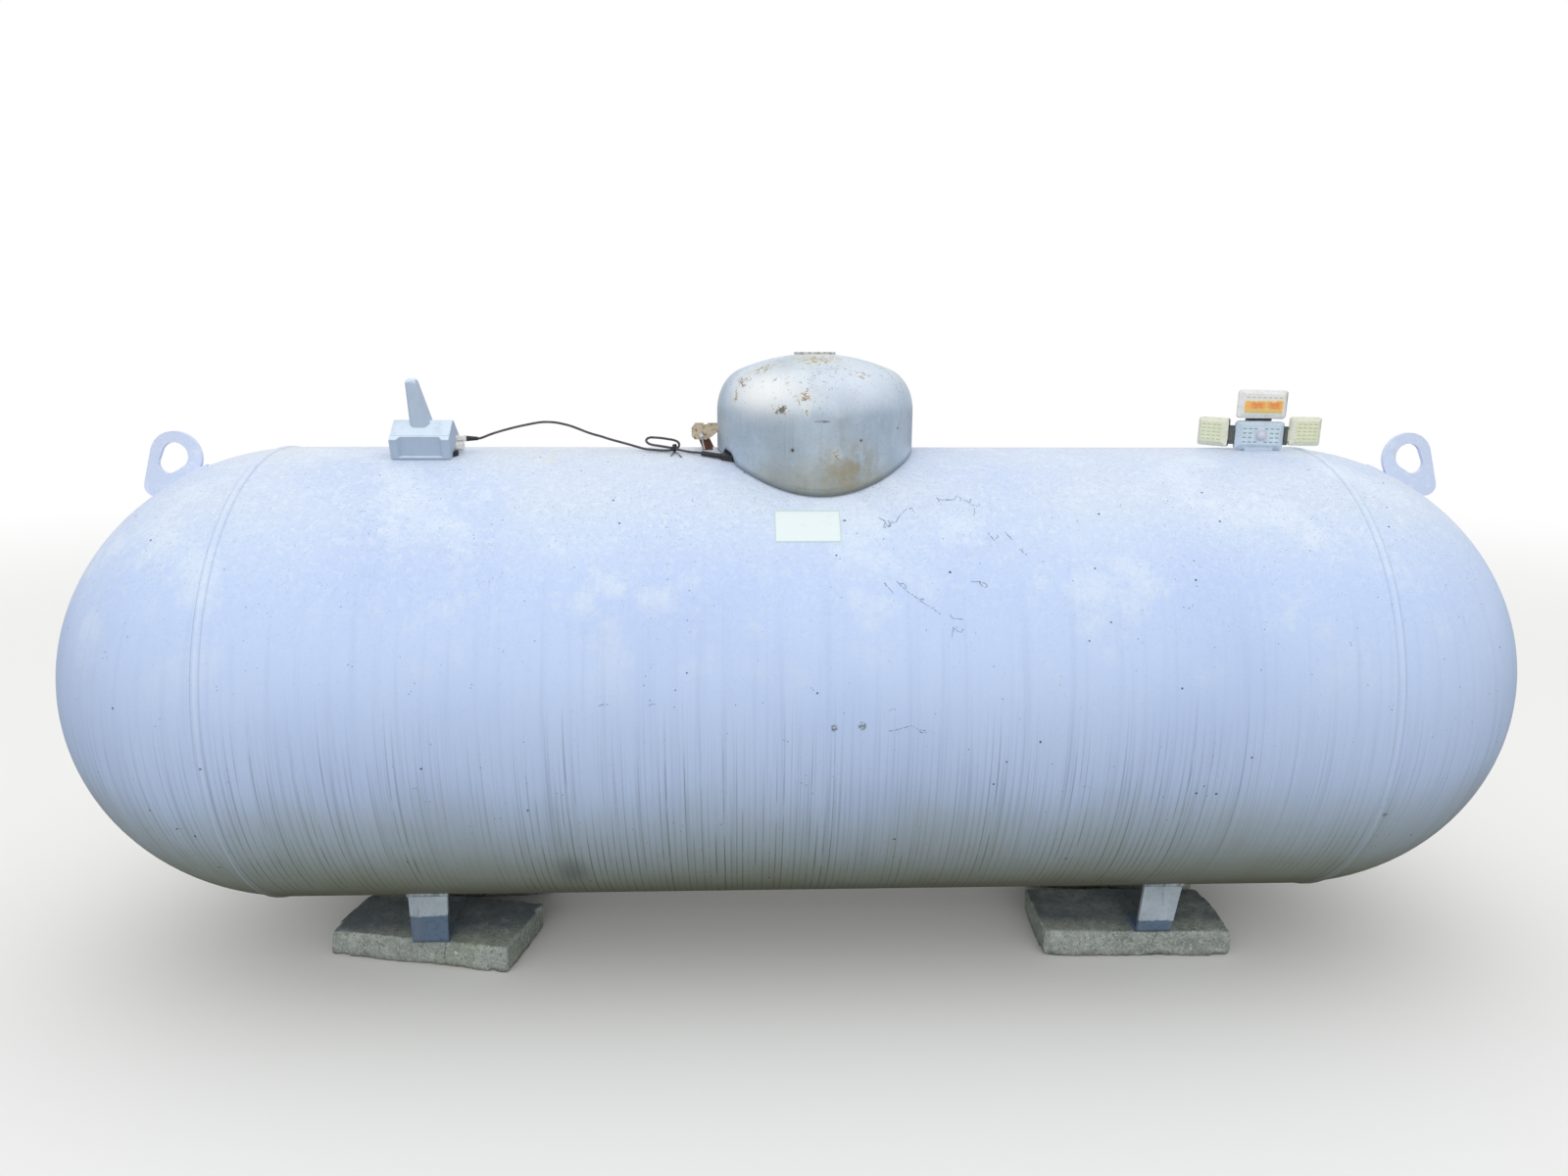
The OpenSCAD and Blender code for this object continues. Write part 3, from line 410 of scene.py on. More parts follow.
def leg_paint(name, edge_z):
    """White over a bare grey-blue foot, with a ragged edge between them at a height."""
    look = Look(name, (170, 182, 192), 0.5)
    x, y, z = look.axes()
    edge = look.plus(z, look.times(look.minus(look.noise(26, 3), 0.5), 0.020))
    look.blotch((146, 160, 170), 0.55, 0.48, 0.66, 60, 5, 0.75)
    look.blotch((190, 204, 220), 0.6, 0.46, 0.70, 14, 3, 0.6)
    look.tint(look.step(edge, edge_z + 0.002, edge_z - 0.002), (95, 115, 138))
    bare = look.step(edge, edge_z, edge_z - 0.004)
    look.tint((look.mottle(0.50, 0.66, 80, 4, 0.75), bare), (74, 88, 104), 0.7)
    rust = look.mottle(0.58, 0.66, 150, 4, 0.8, warp=0.5)
    look.tint((rust, look.step(z, 0.085, 0.06)), (112, 84, 60), 0.6)
    lane = look.joined(look.times(x, 70), look.times(y, 70), look.times(z, 5))
    look.blotch((112, 122, 128), 0.45, 0.56, 0.72, 1.0, 3, 0.6, lane)
    look.tint(look.specks(230, 0.24, 0.46), (66, 70, 74), 0.75)
    # Dark, rough weld at the top
    rough = look.mottle(0.36, 0.60, 90, 4, 0.7)
    look.tint((look.step(z, 0.160, 0.170), rough), (86, 90, 88), 0.75)
    look.relief(look.noise(220, 4, 0.7), 0.0006)
    return look.done()


def concrete():
    """Rough grey concrete: fine irregular mottling, pale sand, damp and a green film low down, and painted
    shadow on its tops under the tank.
    """
    look = Look("concrete", (160, 168, 164), 0.92, specular=0.2)
    x, y, z = look.axes()
    look.blotch((126, 136, 132), 0.70, 0.42, 0.66, 8, 5, 0.7)
    look.blotch((196, 204, 194), 0.60, 0.48, 0.62, 48, 6, 0.8)
    look.blotch((84, 90, 86), 0.60, 0.53, 0.60, 150, 5, 0.85)
    look.blotch((222, 222, 210), 0.60, 0.55, 0.61, 260, 4, 0.8, look.moved(3.0))
    look.blotch((122, 138, 104), 0.40, 0.54, 0.70, 6, 4, 0.6, look.moved(9.0), 0.7)
    look.blotch((84, 88, 84), 0.35, 0.60, 0.68, 20, 5, 0.75, look.moved(5.0), 0.5)
    look.blotch((236, 238, 228), 0.60, 0.60, 0.68, 75, 4, 0.8, look.moved(8.0))
    # Painted shadow: the tops darker where the tank stands over them
    shaded_under_tank = look.step(look.size(y), 0.232, 0.160)
    cloudy = look.mottle(0.20, 0.60, 9, 4, 0.6)
    look.tint((look.facing_up(0.6, 0.9), shaded_under_tank, cloudy), (84, 94, 106), 0.75)
    low = look.plus(z, look.times(look.noise(30, 4), 0.03))
    look.tint(look.step(low, 0.032, 0.012), (104, 98, 82), 0.7)
    # A crack over the middle of each block
    bend = look.times(look.minus(look.noise(18, 4, 0.7), 0.5), 0.06)
    for middle in (0.716, -0.760):
        off = look.size(look.plus(look.minus(x, middle + 0.030), bend))
        look.tint(look.step(off, 0.0014, 0.0004), (66, 68, 64), 0.7)
    look.relief(look.noise(120, 6, 0.8, warp=0.4), 0.0022)
    look.relief(look.noise(300, 3, 0.7), 0.0008)
    return look.done()


def hood_paint():
    """Aluminium paint, pitted and bloomed with rust near the top, with tan dirt at the foot of its front, and
    painted highlights on its top and shoulder.
    """
    look = Look("hood_paint", (184, 199, 214), 0.36, metallic=0.25)
    x, y, z = look.axes()
    rise = look.minus(z, CROWN_Z)
    top = look.step(rise, 0.07, 0.165)
    around = look.math("ARCTAN2", y, look.minus(x, 0.032))

    def spot(place, radius, soft, squeeze):
        """1 at a place given over the crown's height, 0 past a radius."""
        return look.near((place[0], place[1], CROWN_Z + place[2]), radius, soft, squeeze)

    look.blotch((160, 180, 202), 0.55, 0.42, 0.68, 5, 4, 0.6)
    look.blotch((204, 214, 222), 0.40, 0.50, 0.66, 55, 5, 0.78)
    look.blotch((150, 160, 166), 0.45, 0.56, 0.64, 150, 4, 0.8, warp=0.4)
    # Painted highlight: the top paler, where light from above falls on it
    look.tint(look.step(rise, 0.10, 0.16), (216, 228, 238), 0.60)
    # Wide pale and dark sweeps round the wall, and runs down it
    sweep = look.joined(look.times(around, 1.3), 0.0, look.times(rise, 5))
    look.blotch((142, 158, 172), 0.45, 0.40, 0.66, 1, 3, 0.6, sweep)
    lane = look.joined(look.times(around, 22), 0.0, look.times(z, 3))
    runs = look.mottle(0.55, 0.75, 1, 3, 0.6, lane)
    look.tint((runs, look.step(rise, 0.13, 0.02)), (128, 142, 150), 0.42)
    # Tan dirt low on the front, and a film just over the rim
    low = look.step(look.plus(rise, look.times(look.noise(22, 5, 0.7), 0.07)), 0.05, -0.04)
    front = look.step(y, -0.10, -0.22)
    look.tint((low, front), (152, 152, 134), 0.70)
    look.tint((look.mottle(0.52, 0.70, 34, 5, 0.75, warp=0.7), low), (138, 130, 102), 0.45)
    dirty = spot((0.085, -0.25, -0.025), 0.110, 0.95, (1, 0.2, 1.3))
    look.tint((dirty, look.mottle(0.34, 0.64, 30, 5, 0.75)), (158, 150, 122), 0.85)
    # The sky's light on the shoulder
    for place, radius, color, amount in (
        ((-0.075, -0.200, 0.122), 0.115, (250, 252, 252), 0.85),
        ((0.095, -0.200, 0.128), 0.105, (226, 234, 250), 0.60),
    ):
        look.tint(spot(place, radius, 0.95, (0.75, 0.7, 1.6)), color, amount)
    # Rust over the top: blooms, scabs and pits
    zone = look.plus(look.times(top, 0.85), 0.08)
    spread = look.mottle(0.40, 0.60, 9, 4, 0.65, look.moved(6.0))
    bloom = look.noise(44, 6, 0.8, warp=0.6)
    look.tint((look.step(bloom, 0.56, 0.66), zone, spread), (170, 138, 92), 0.75)
    scabs = look.mottle(0.60, 0.66, 95, 5, 0.8, warp=0.8)
    look.tint((scabs, zone, look.plus(look.times(spread, 0.7), 0.3)), (98, 68, 44), 0.9)
    pits = look.mottle(0.64, 0.68, 190, 3, 0.7, look.moved(2.0), 0.5)
    look.tint((pits, look.plus(look.times(top, 0.7), 0.3)), (70, 52, 40), 0.85)
    # Single places: rust with a pale edge, clusters of pits, a horizontal mark, and black holes
    scatter = look.noise(95, 5, 0.8, warp=0.5)
    for place, radius, squeeze, color in (
        ((0.000, -0.232, 0.112), 0.028, (1, 0.5, 0.8), (150, 118, 76)),
        ((0.030, -0.240, 0.108), 0.012, (1, 0.5, 1), (140, 118, 84)),
        ((0.002, -0.250, 0.086), 0.017, (1.8, 0.5, 1), (126, 108, 80)),
        ((-0.119, -0.150, 0.143), 0.030, (1, 0.5, 1), (112, 78, 54)),
        ((-0.133, -0.155, 0.118), 0.024, (1.6, 0.5, 0.7), (170, 148, 112)),
        ((-0.070, -0.130, 0.162), 0.032, (0.6, 0.6, 1), (152, 136, 92)),
        ((0.103, -0.180, 0.148), 0.026, (0.7, 0.5, 1), (140, 108, 74)),
        ((-0.050, -0.235, 0.092), 0.022, (0.6, 0.5, 1.3), (112, 108, 100)),
        ((0.031, -0.120, 0.178), 0.050, (0.5, 0.5, 1), (170, 152, 108)),
        ((0.062, -0.240, 0.082), 0.014, (0.8, 0.5, 1), (120, 112, 98)),
        ((0.060, -0.250, 0.008), 0.013, (0.7, 0.5, 0.7), (138, 134, 112)),
    ):
        pale = spot(place, radius, 0.9, squeeze)
        look.tint(pale, (224, 228, 224), 0.40)
        rust = look.step(look.plus(scatter, look.times(pale, 0.20)), 0.665, 0.715)
        look.tint((rust, look.step(pale, 0.0, 0.15)), color, 0.95)
    mark = spot((0.031, -0.252, 0.070), 0.017, 0.4, (1, 0.3, 6))
    look.tint((mark, look.step(scatter, 0.36, 0.50)), (104, 94, 92), 0.8)
    for place, radius in (
        ((-0.024, -0.249, 0.016), 0.0040), ((0.106, -0.236, 0.034), 0.0026), ((0.185, -0.173, 0.053), 0.0028),
        ((0.188, -0.170, 0.060), 0.0018), ((0.140, -0.190, 0.110), 0.0018), ((0.108, -0.190, 0.137), 0.0024),
    ):
        look.tint(spot(place, radius * 2.0, 0.8, (1, 0.3, 1)), (120, 104, 86), 0.5)
        ragged = look.times(look.minus(scatter, 0.5), 1.6)
        hole = look.plus(spot(place, radius, 0.9, (1, 0.3, 1)), ragged)
        look.tint(look.step(hole, 0.30, 0.50), (36, 30, 26), 0.95)
    look.roughen(zone, 0.55)
    look.roughen(look.times(scabs, top), 0.9)
    look.relief(look.noise(5, 3, 0.5), 0.0030)
    look.relief(look.noise(240, 4, 0.6), 0.0002)
    look.relief(look.times(look.step(bloom, 0.56, 0.68), top), 0.0005)
    return look.done()


def rusty(name, color, rust, share=0.5, metallic=0.3):
    """Painted or bare steel, of which a share has rusted."""
    look = Look(name, color, 0.55, metallic=metallic)
    edge = 1 - share
    look.blotch(rust, 0.95, edge * 0.55 + 0.18, edge * 0.55 + 0.30, 75, 5, 0.72)
    look.blotch(tuple(c * 0.55 for c in rust), 0.8, 0.58, 0.68, 240, 4, 0.7)
    look.roughen(look.mottle(0.4, 0.6, 75, 5, 0.72), 0.85)
    look.relief(look.noise(320, 4, 0.7), 0.0005)
    return look.done()


def metal(name, color, roughness, stain, metallic=0.9):
    look = Look(name, color, roughness, metallic=metallic)
    look.blotch(stain, 0.7, 0.48, 0.68, 60, 5, 0.7)
    look.tint(look.specks(380, 0.25, 0.5), tuple(c * 0.6 for c in stain), 0.5)
    look.roughen(look.mottle(0.4, 0.7, 90, 4, 0.6), min(1.0, roughness + 0.25))
    look.relief(look.noise(500, 3), 0.00015)
    return look.done()


def plastic(name, color, roughness=0.42, dirt=(120, 124, 122), dirt_amount=0.35, grain=900, depth=0.00008):
    look = Look(name, color, roughness)
    look.blotch(dirt, dirt_amount, 0.50, 0.72, 28, 5, 0.7)
    look.tint(look.specks(420, 0.2, 0.46), dirt, 0.5)
    look.roughen(look.mottle(0.4, 0.7, 50, 4, 0.6), min(1.0, roughness + 0.2))
    look.relief(look.noise(grain, 2), depth)
    return look.done()


def unit_plastic():
    """The telemetry unit's housing: painted light on its roof, paler than the upright faces, which keep a
    darker colour as painted shade; dirt over all.
    """
    look = Look("unit_plastic", (168, 184, 204), 0.42)
    # Painted light: faces that look up are made paler than the upright ones
    look.tint(look.facing_up(0.25, 0.65), (208, 224, 240))
    look.blotch((150, 162, 176), 0.3, 0.50, 0.72, 28, 5, 0.7)
    look.tint(look.specks(420, 0.2, 0.46), (150, 160, 170), 0.5)
    look.roughen(look.mottle(0.4, 0.7, 50, 4, 0.6), 0.6)
    look.relief(look.noise(900, 2), 0.00008)
    return look.done()


def lens_plastic(name, color, dirt, deep, dirt_amount=0.5):
    """Yellowed clear plastic over the lights, in a body colour so that it reads under any light."""
    look = Look(name, color, 0.22)
    look.blotch(dirt, dirt_amount, 0.42, 0.7, 45, 4, 0.6)
    look.blotch(deep, 0.35, 0.55, 0.7, 140, 4, 0.7)
    look.coat(0.12, 0.5)
    look.relief(look.noise(600, 2), 0.00008)
    return look.done()


def lamp_plastic(name, color, dirt, grime):
    """Moulded housing with dirt and grime in patches, streaks and specks, and painted shadow in the gaps
    round the pins.
    """
    look = Look(name, color, 0.33)
    x, y, z = look.axes()
    aside = look.size(look.minus(x, LAMP_X))
    look.blotch(dirt, 0.50, 0.46, 0.66, 60, 5, 0.75)
    look.blotch(grime, 0.40, 0.56, 0.66, 190, 4, 0.8, warp=0.5)
    lane = look.stretched(150, 150, 12)
    look.blotch(grime, 0.35, 0.56, 0.74, 1.0, 3, 0.6, lane)
    look.tint(look.specks(420, 0.22, 0.40), grime, 0.8)
    # Painted shadow in the gaps round the pins, between the body and the heads
    beside = look.times(look.step(aside, 0.0512, 0.0516), look.step(aside, 0.0629, 0.0625))
    height = look.minus(z, CROWN_Z)
    over = look.times(look.step(height, 0.0596, 0.0600), look.step(height, 0.0659, 0.0655))
    gap_shadow = look.plus(beside, look.times(over, look.step(aside, 0.0512, 0.0508)))
    look.tint(gap_shadow, (52, 54, 58), 0.92)
    look.roughen(look.mottle(0.46, 0.66, 60, 5, 0.75), 0.55)
    look.relief(look.noise(700, 2), 0.0001)
    return look.done()


def amber_lens():
    """The top head's lens: clear blue-white above, orange in two patches in the middle, olive below."""
    look = Look("lens_amber", (226, 234, 244), 0.2)
    low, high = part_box("lamp_lens_top")
    x, y, z = look.axes()
    share = look.math("DIVIDE", look.minus(z, low.z), high.z - low.z)
    wavy = look.plus(share, look.times(look.minus(look.noise(60, 3), 0.5), 0.40))
    look.tint(look.step(wavy, 0.86, 0.56), (248, 222, 150))
    middle = look.times(look.step(wavy, 0.70, 0.50), look.step(wavy, 0.10, 0.30))
    look.tint(middle, (246, 182, 92), 0.85)
    for place, half in ((-0.014, 0.020), (0.022, 0.018)):
        off = look.size(look.minus(x, (low.x + high.x) / 2 + place))
        look.tint((look.step(off, half, half * 0.3), middle), (240, 132, 66), 0.85)
    look.tint(look.step(wavy, 0.26, 0.06), (204, 190, 118), 0.8)
    look.coat(0.1, 0.6)
    look.relief(look.noise(600, 2), 0.00008)
    return look.done()


def dress_all():
    """Gives each solid that shows its material; solids of one material share a line."""
    looks = {
        "shell": shell_paint(),
        "head_left": head_paint(-1),
        "head_right": head_paint(1),
        "girth_welds": weld_paint(),
        "lifting_lug_left lifting_lug_right": lug_paint(),
        "leg_front_left leg_rear_left": leg_paint("leg_paint_left", edge_z=0.121),
        "leg_front_right leg_rear_right": leg_paint("leg_paint_right", edge_z=0.086),
        "couplings": rusty("coupling_steel", (176, 184, 194), (104, 84, 66), 0.35),
        "relief_valve fill_valve service_valve liquid_valve":
            metal("valve_brass", (186, 158, 98), 0.38, (120, 104, 72)),
        "relief_cap": plastic("relief_cap_plastic", (206, 170, 48), 0.5),
        "fill_cap": plastic("fill_cap_plastic", (46, 110, 66), 0.5),
        "service_handwheel": metal("handwheel_paint", (158, 42, 34), 0.45, (110, 60, 44), 0.2),
        "gauge_flange": metal("gauge_metal", (172, 176, 180), 0.4, (128, 130, 130)),
        "gauge_dial cable_boot cable_tie cable_sleeve cable_connector":
            plastic("black_plastic", (34, 35, 38), 0.5, (70, 70, 68), 0.4),
        "hinge_lugs": rusty("hinge_rust", (120, 82, 66), (96, 60, 44), 0.7),
        "hinge_pin": metal("pin_zinc", (206, 208, 212), 0.35, (160, 150, 136)),
        "hood_tabs": rusty("tab_paint", (198, 182, 158), (92, 62, 44), 0.40, 0.0),
        "hood_button": rusty("button_rust", (196, 200, 198), (156, 128, 88), 0.5, 0.2),
        "unit_case unit_front unit_antenna": unit_plastic(),
        "unit_gland": plastic("gland_plastic", (230, 230, 226), 0.5, (168, 162, 150), 0.6),
        "unit_feet": plastic("foot_rubber", (30, 32, 38), 0.7),
        "lamp_body": lamp_plastic("lamp_grey", (192, 208, 222), (170, 186, 200), (124, 138, 148)),
        "lamp_lens": lens_plastic("lens_clear", (204, 222, 232), (186, 204, 216), (158, 174, 186)),
        "lamp_sensor": plastic("sensor_plastic", (198, 202, 214), 0.3, (170, 174, 182), 0.3),
        "lamp_head_left lamp_head_right":
            lamp_plastic("lamp_cream", (222, 224, 206), (204, 202, 176), (158, 156, 130)),
        "lamp_lens_left lamp_lens_right":
            lens_plastic("lens_yellow", (226, 230, 202), (214, 218, 178), (194, 200, 158)),
        "lamp_head_top": lamp_plastic("lamp_white", (228, 230, 230), (212, 208, 194), (172, 160, 138)),
        "lamp_lens_top": amber_lens(),
    }
    for names, material in looks.items():
        for name in names.split():
            materials = nodes[name].data.materials
            materials.clear()
            materials.append(material)


# The cable

# Points along the cable, in millimetres, the height over the tank's axis
CABLE_ROUTE = [
    (-676, -63, 499), (-664, -63, 499), (-652, -63, 499), (-642, -62, 502), (-632, -60, 506),
    (-614, -56, 512), (-596, -52, 517),
    (-576, -50, 522), (-557, -48, 526), (-541, -46, 529), (-527, -45, 531), (-513, -43, 531),
    (-500, -42, 530), (-485, -41, 527), (-470, -40, 523), (-454, -39, 517), (-439, -39, 511),
    (-424, -39, 506), (-409, -40, 502), (-390, -41, 496), (-371, -43, 491), (-352, -45, 486),
    (-334, -47, 481), (-318, -50, 477), (-303, -54, 476), (-288, -58, 475), (-274, -60, 475),
    (-262, -61, 476), (-253, -61, 479), (-248, -60, 485), (-250, -56, 491), (-258, -52, 495),
    (-270, -49, 497), (-284, -47, 499), (-298, -46, 500), (-309, -48, 500), (-315, -53, 496),
    (-313, -59, 491), (-304, -63, 487), (-291, -65, 485), (-277, -67, 483), (-264, -69, 481),
    (-251, -71, 478), (-236, -74, 475), (-222, -78, 473), (-210, -85, 473), (-200, -92, 472),
    (-160, -114, 468), (-148, -121, 467), (-134, -129, 466), (-122, -131, 464), (-110, -127, 463),
    (-100, -117, 465), (-93, -104, 467), (-88, -89, 470), (-83, -74, 474), (-78, -59, 480),
    (-74, -46, 488), (-70, -34, 497), (-67, -23, 504),
]
CABLE_R = 0.0025


def add_cable(tie):
    """The level sensor's cable, one smooth curve through its route."""
    points = [Vector((x / 1000, y / 1000, AXIS_Z + z / 1000)) for x, y, z in CABLE_ROUTE]
    data = bpy.data.curves.new("cable", "CURVE")
    data.dimensions = "3D"
    data.bevel_depth = CABLE_R
    data.bevel_resolution = 3
    data.resolution_u = 4
    data.use_fill_caps = True
    spline = data.splines.new("BEZIER")
    spline.bezier_points.add(len(points) - 1)
    for handle, point in zip(spline.bezier_points, points):
        handle.co = point
        handle.handle_left_type = handle.handle_right_type = "AUTO"
    cable = bpy.data.objects.new("cable", data)
    bpy.context.scene.collection.objects.link(cable)
    data.materials.append(plastic("cable_jacket", (62, 60, 66), 0.4, (104, 102, 104), 0.5))
    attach(cable, "root")
    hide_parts("data_cable")


# Meshes


def add_piece(name, mesh, material, body="root"):
    """Puts a mesh in the scene with its material, on a body of the object."""
    mesh.materials.append(material)
    piece = bpy.data.objects.new(name, mesh)
    bpy.context.scene.collection.objects.link(piece)
    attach(piece, body)
    return piece


def mesh_of(name, grid):
    """The finished mesh of a grid of vertices and faces being made."""
    mesh = bpy.data.meshes.new(name)
    grid.to_mesh(mesh)
    grid.free()
    return mesh


def add_mesh(name, verts, faces, material, body="root", smooth=True):
    mesh = bpy.data.meshes.new(name)
    mesh.from_pydata([tuple(v) for v in verts], [], faces)
    mesh.validate()
    for face in mesh.polygons:
        face.use_smooth = smooth
    return add_piece(name, mesh, material, body)


def round_all(piece, width):
    """Rounds every edge of a small piece."""
    bevel = piece.modifiers.new("round", "BEVEL")
    bevel.width, bevel.segments = width, 2


def swept_bar(path, across, half_wide, half_thick, closed=False):
    """Vertices and faces of a flat bar along a path; its width lies along one direction."""
    verts, faces = [], []
    count = len(path)
    for i, point in enumerate(path):
        if closed:
            heading = path[(i + 1) % count] - path[i - 1]
        else:
            heading = path[min(i + 1, count - 1)] - path[max(i - 1, 0)]
        wide = (across - heading * across.dot(heading) / heading.length_squared).normalized()
        thick = wide.cross(heading).normalized()
        for w, t in ((-1, -1), (1, -1), (1, 1), (-1, 1)):
            verts.append(point + wide * half_wide * w + thick * half_thick * t)
    for i in range(count if closed else count - 1):
        a, b = 4 * i, 4 * ((i + 1) % count)
        for k in range(4):
            j = (k + 1) % 4
            faces.append((a + k, b + k, b + j, a + j))
    if not closed:
        last = 4 * (count - 1)
        faces += [(0, 1, 2, 3), (last + 3, last + 2, last + 1, last)]
    return verts, faces


def gather(verts, faces, bar):
    """Adds a bar's vertices and faces to those of the mesh that it is part of."""
    start = len(verts)
    verts.extend(bar[0])
    faces.extend(tuple(start + i for i in face) for face in bar[1])


def add_cable_tie(material):
    """A strap round the cable's loop, with its head and the two thin ends that lie on the shell."""
    place = Vector((-0.257, -0.066, AXIS_Z + 0.4805))
    turn = Matrix.Rotation(math.radians(-12), 3, "Z")
    along = turn @ Vector((1, 0, 0))
    half_y, half_z, steps = 0.0093, 0.0073, 40
    strap = []
    for i in range(steps):
        c, s = math.cos(2 * math.pi * i / steps), math.sin(2 * math.pi * i / steps)
        y = math.copysign(abs(c) ** 0.7, c) * half_y
        z = math.copysign(abs(s) ** 0.7, s) * half_z
        strap.append(place + turn @ Vector((0, y, z)))
    head = [place + turn @ Vector((0, -half_y - 0.0004, z)) for z in (-0.0032, -0.001, 0.0015, 0.0036)]
    verts, faces = [], []
    gather(verts, faces, swept_bar(strap, along, 0.0023, 0.0006, closed=True))
    gather(verts, faces, swept_bar(head, along, 0.0033, 0.0022))
    for end_x, end_y, bow in ((-0.2415, -0.1040, 0.0035), (-0.2640, -0.0960, 0.0025)):
        tail = []
        for i in range(11):
            t = i / 10
            x = place.x + 0.001 + (end_x - place.x) * t
            y = place.y - half_y + (end_y - place.y + half_y) * t
            z = AXIS_Z + math.sqrt(TANK_R ** 2 - y ** 2) + 0.0012 + bow * (1 - t) ** 0.7
            tail.append(Vector((x, y, z)))
        gather(verts, faces, swept_bar(tail, Vector((1, 0.4, 0)), 0.0010, 0.0005))
    piece = add_mesh("cable_tie_strap", verts, faces, material, smooth=False)
    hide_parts("cable_tie")
    round_all(piece, 0.0003)
    return piece


# Scratches in the paint: each scribble has a place as (x, arc) and its strokes round it, in millimetres
SCRIBBLES = [
    ((170, 423), [
        [(-34, 2), (-22, -8), (-29, -22), (-14, -19), (-17, -5), (-5, -12), (6, 8), (19, 24), (32, 27)],
        [(-26, -2), (-20, -20), (-10, -10)], [(30, 24), (37, 12)], [(38, 6), (44, -2)],
    ]),
    ((290, 469), [
        [(-39, 12), (-36, 0), (-6, 5), (0, 17), (8, 8), (3, -1)], [(-36, 5), (-14, 6)], [(12, 4), (24, -6)],
        [(26, 8), (22, -8), (37, -15), (41, -5)], [(28, -18), (28, -33), (19, -41)],
    ]),
    ((345, 378), [[(-9, 10), (0, -8), (9, 2), (6, 6)], [(-8, 8), (-1, -6)], [(23, 12), (34, -8)]]),
    ((396, 345), [[(-6, 7), (7, -9)], [(0, 8), (-1, -4)]]),
    ((190, 255), [
        [(-32, 32), (-20, 18), (-11, 9), (2, 0), (15, -11), (35, -24), (45, -33)], [(-54, 28), (-38, 7)],
        [(-24, 26), (-17, 26), (-15, 16)], [(8, -4), (14, -3), (17, -10)], [(28, -20), (36, -19)],
    ]),
    ((265, 200), [
        [(-13, 21), (-8, 15), (15, 13)], [(-8, 0), (-13, -22)], [(-7, -2), (-2, -7), (4, -10), (15, 0)],
    ]),
    ((312, 281), [[(-18, 4), (-2, 3), (8, -1), (11, -10)], [(-4, 4), (0, -4), (6, -8), (10, -6)]]),
    ((175, 18), [[(-34, -4), (-20, -1), (-2, 4), (8, 6), (14, 0), (32, -4)], [(14, 2), (22, -6), (34, -8)]]),
    ((-362, 64), [[(-9, 0), (0, 3), (9, 1)]]), ((-276, 64), [[(-9, 0), (2, 3), (10, 1)]]),
]


def shell_point(x, arc, proud):
    """A point on the shell's front, from its place along the tank and up the round, in metres."""
    angle = arc / TANK_R
    radius = TANK_R + proud
    return Vector((x, -radius * math.cos(angle), AXIS_Z + radius * math.sin(angle)))


def scraped(stroke, x0, arc0):
    """Short uneven bits along a stroke, in metres: where the paint came off."""
    bits, bit = [], []
    for (x1, up1), (x2, up2) in zip(stroke, stroke[1:]):
        steps = max(2, round(math.hypot(x2 - x1, up2 - up1) / 1.6))
        for i in range(steps):
            x, up = x1 + (x2 - x1) * i / steps, up1 + (up2 - up1) * i / steps
            seed = Vector((x0 + x, arc0 + up, 0))
            if noise.noise(seed * 0.21) < -0.16 and len(bit) > 2:
                bits.append(bit)
                bit = []
            else:
                shake = noise.noise_vector(seed * 0.45) * 1.5
                bit.append(((x0 + x + shake.x) / 1000, (arc0 + up + shake.y) / 1000))
    return bits + [bit] if len(bit) > 2 else bits


def add_scratches():
    """Thin strokes where something scraped through the paint."""
    half_wide, half_thick = 0.00055, 0.00025
    verts, faces = [], []
    for (x0, arc0), strokes in SCRIBBLES:
        angle = arc0 / 1000 / TANK_R
        outwards = Vector((0, -math.cos(angle), math.sin(angle)))
        for stroke in strokes:
            for bit in scraped(stroke, x0, arc0):
                path = [shell_point(x, arc, 0.0001) for x, arc in bit]
                gather(verts, faces, swept_bar(path, outwards, half_thick, half_wide))
    scratch = Look("scratch", (112, 128, 134), 0.7)
    scratch.blotch((156, 174, 196), 0.9, 0.42, 0.58, 90, 2)
    add_mesh("paint_scratches", verts, faces, scratch.done(), smooth=False)


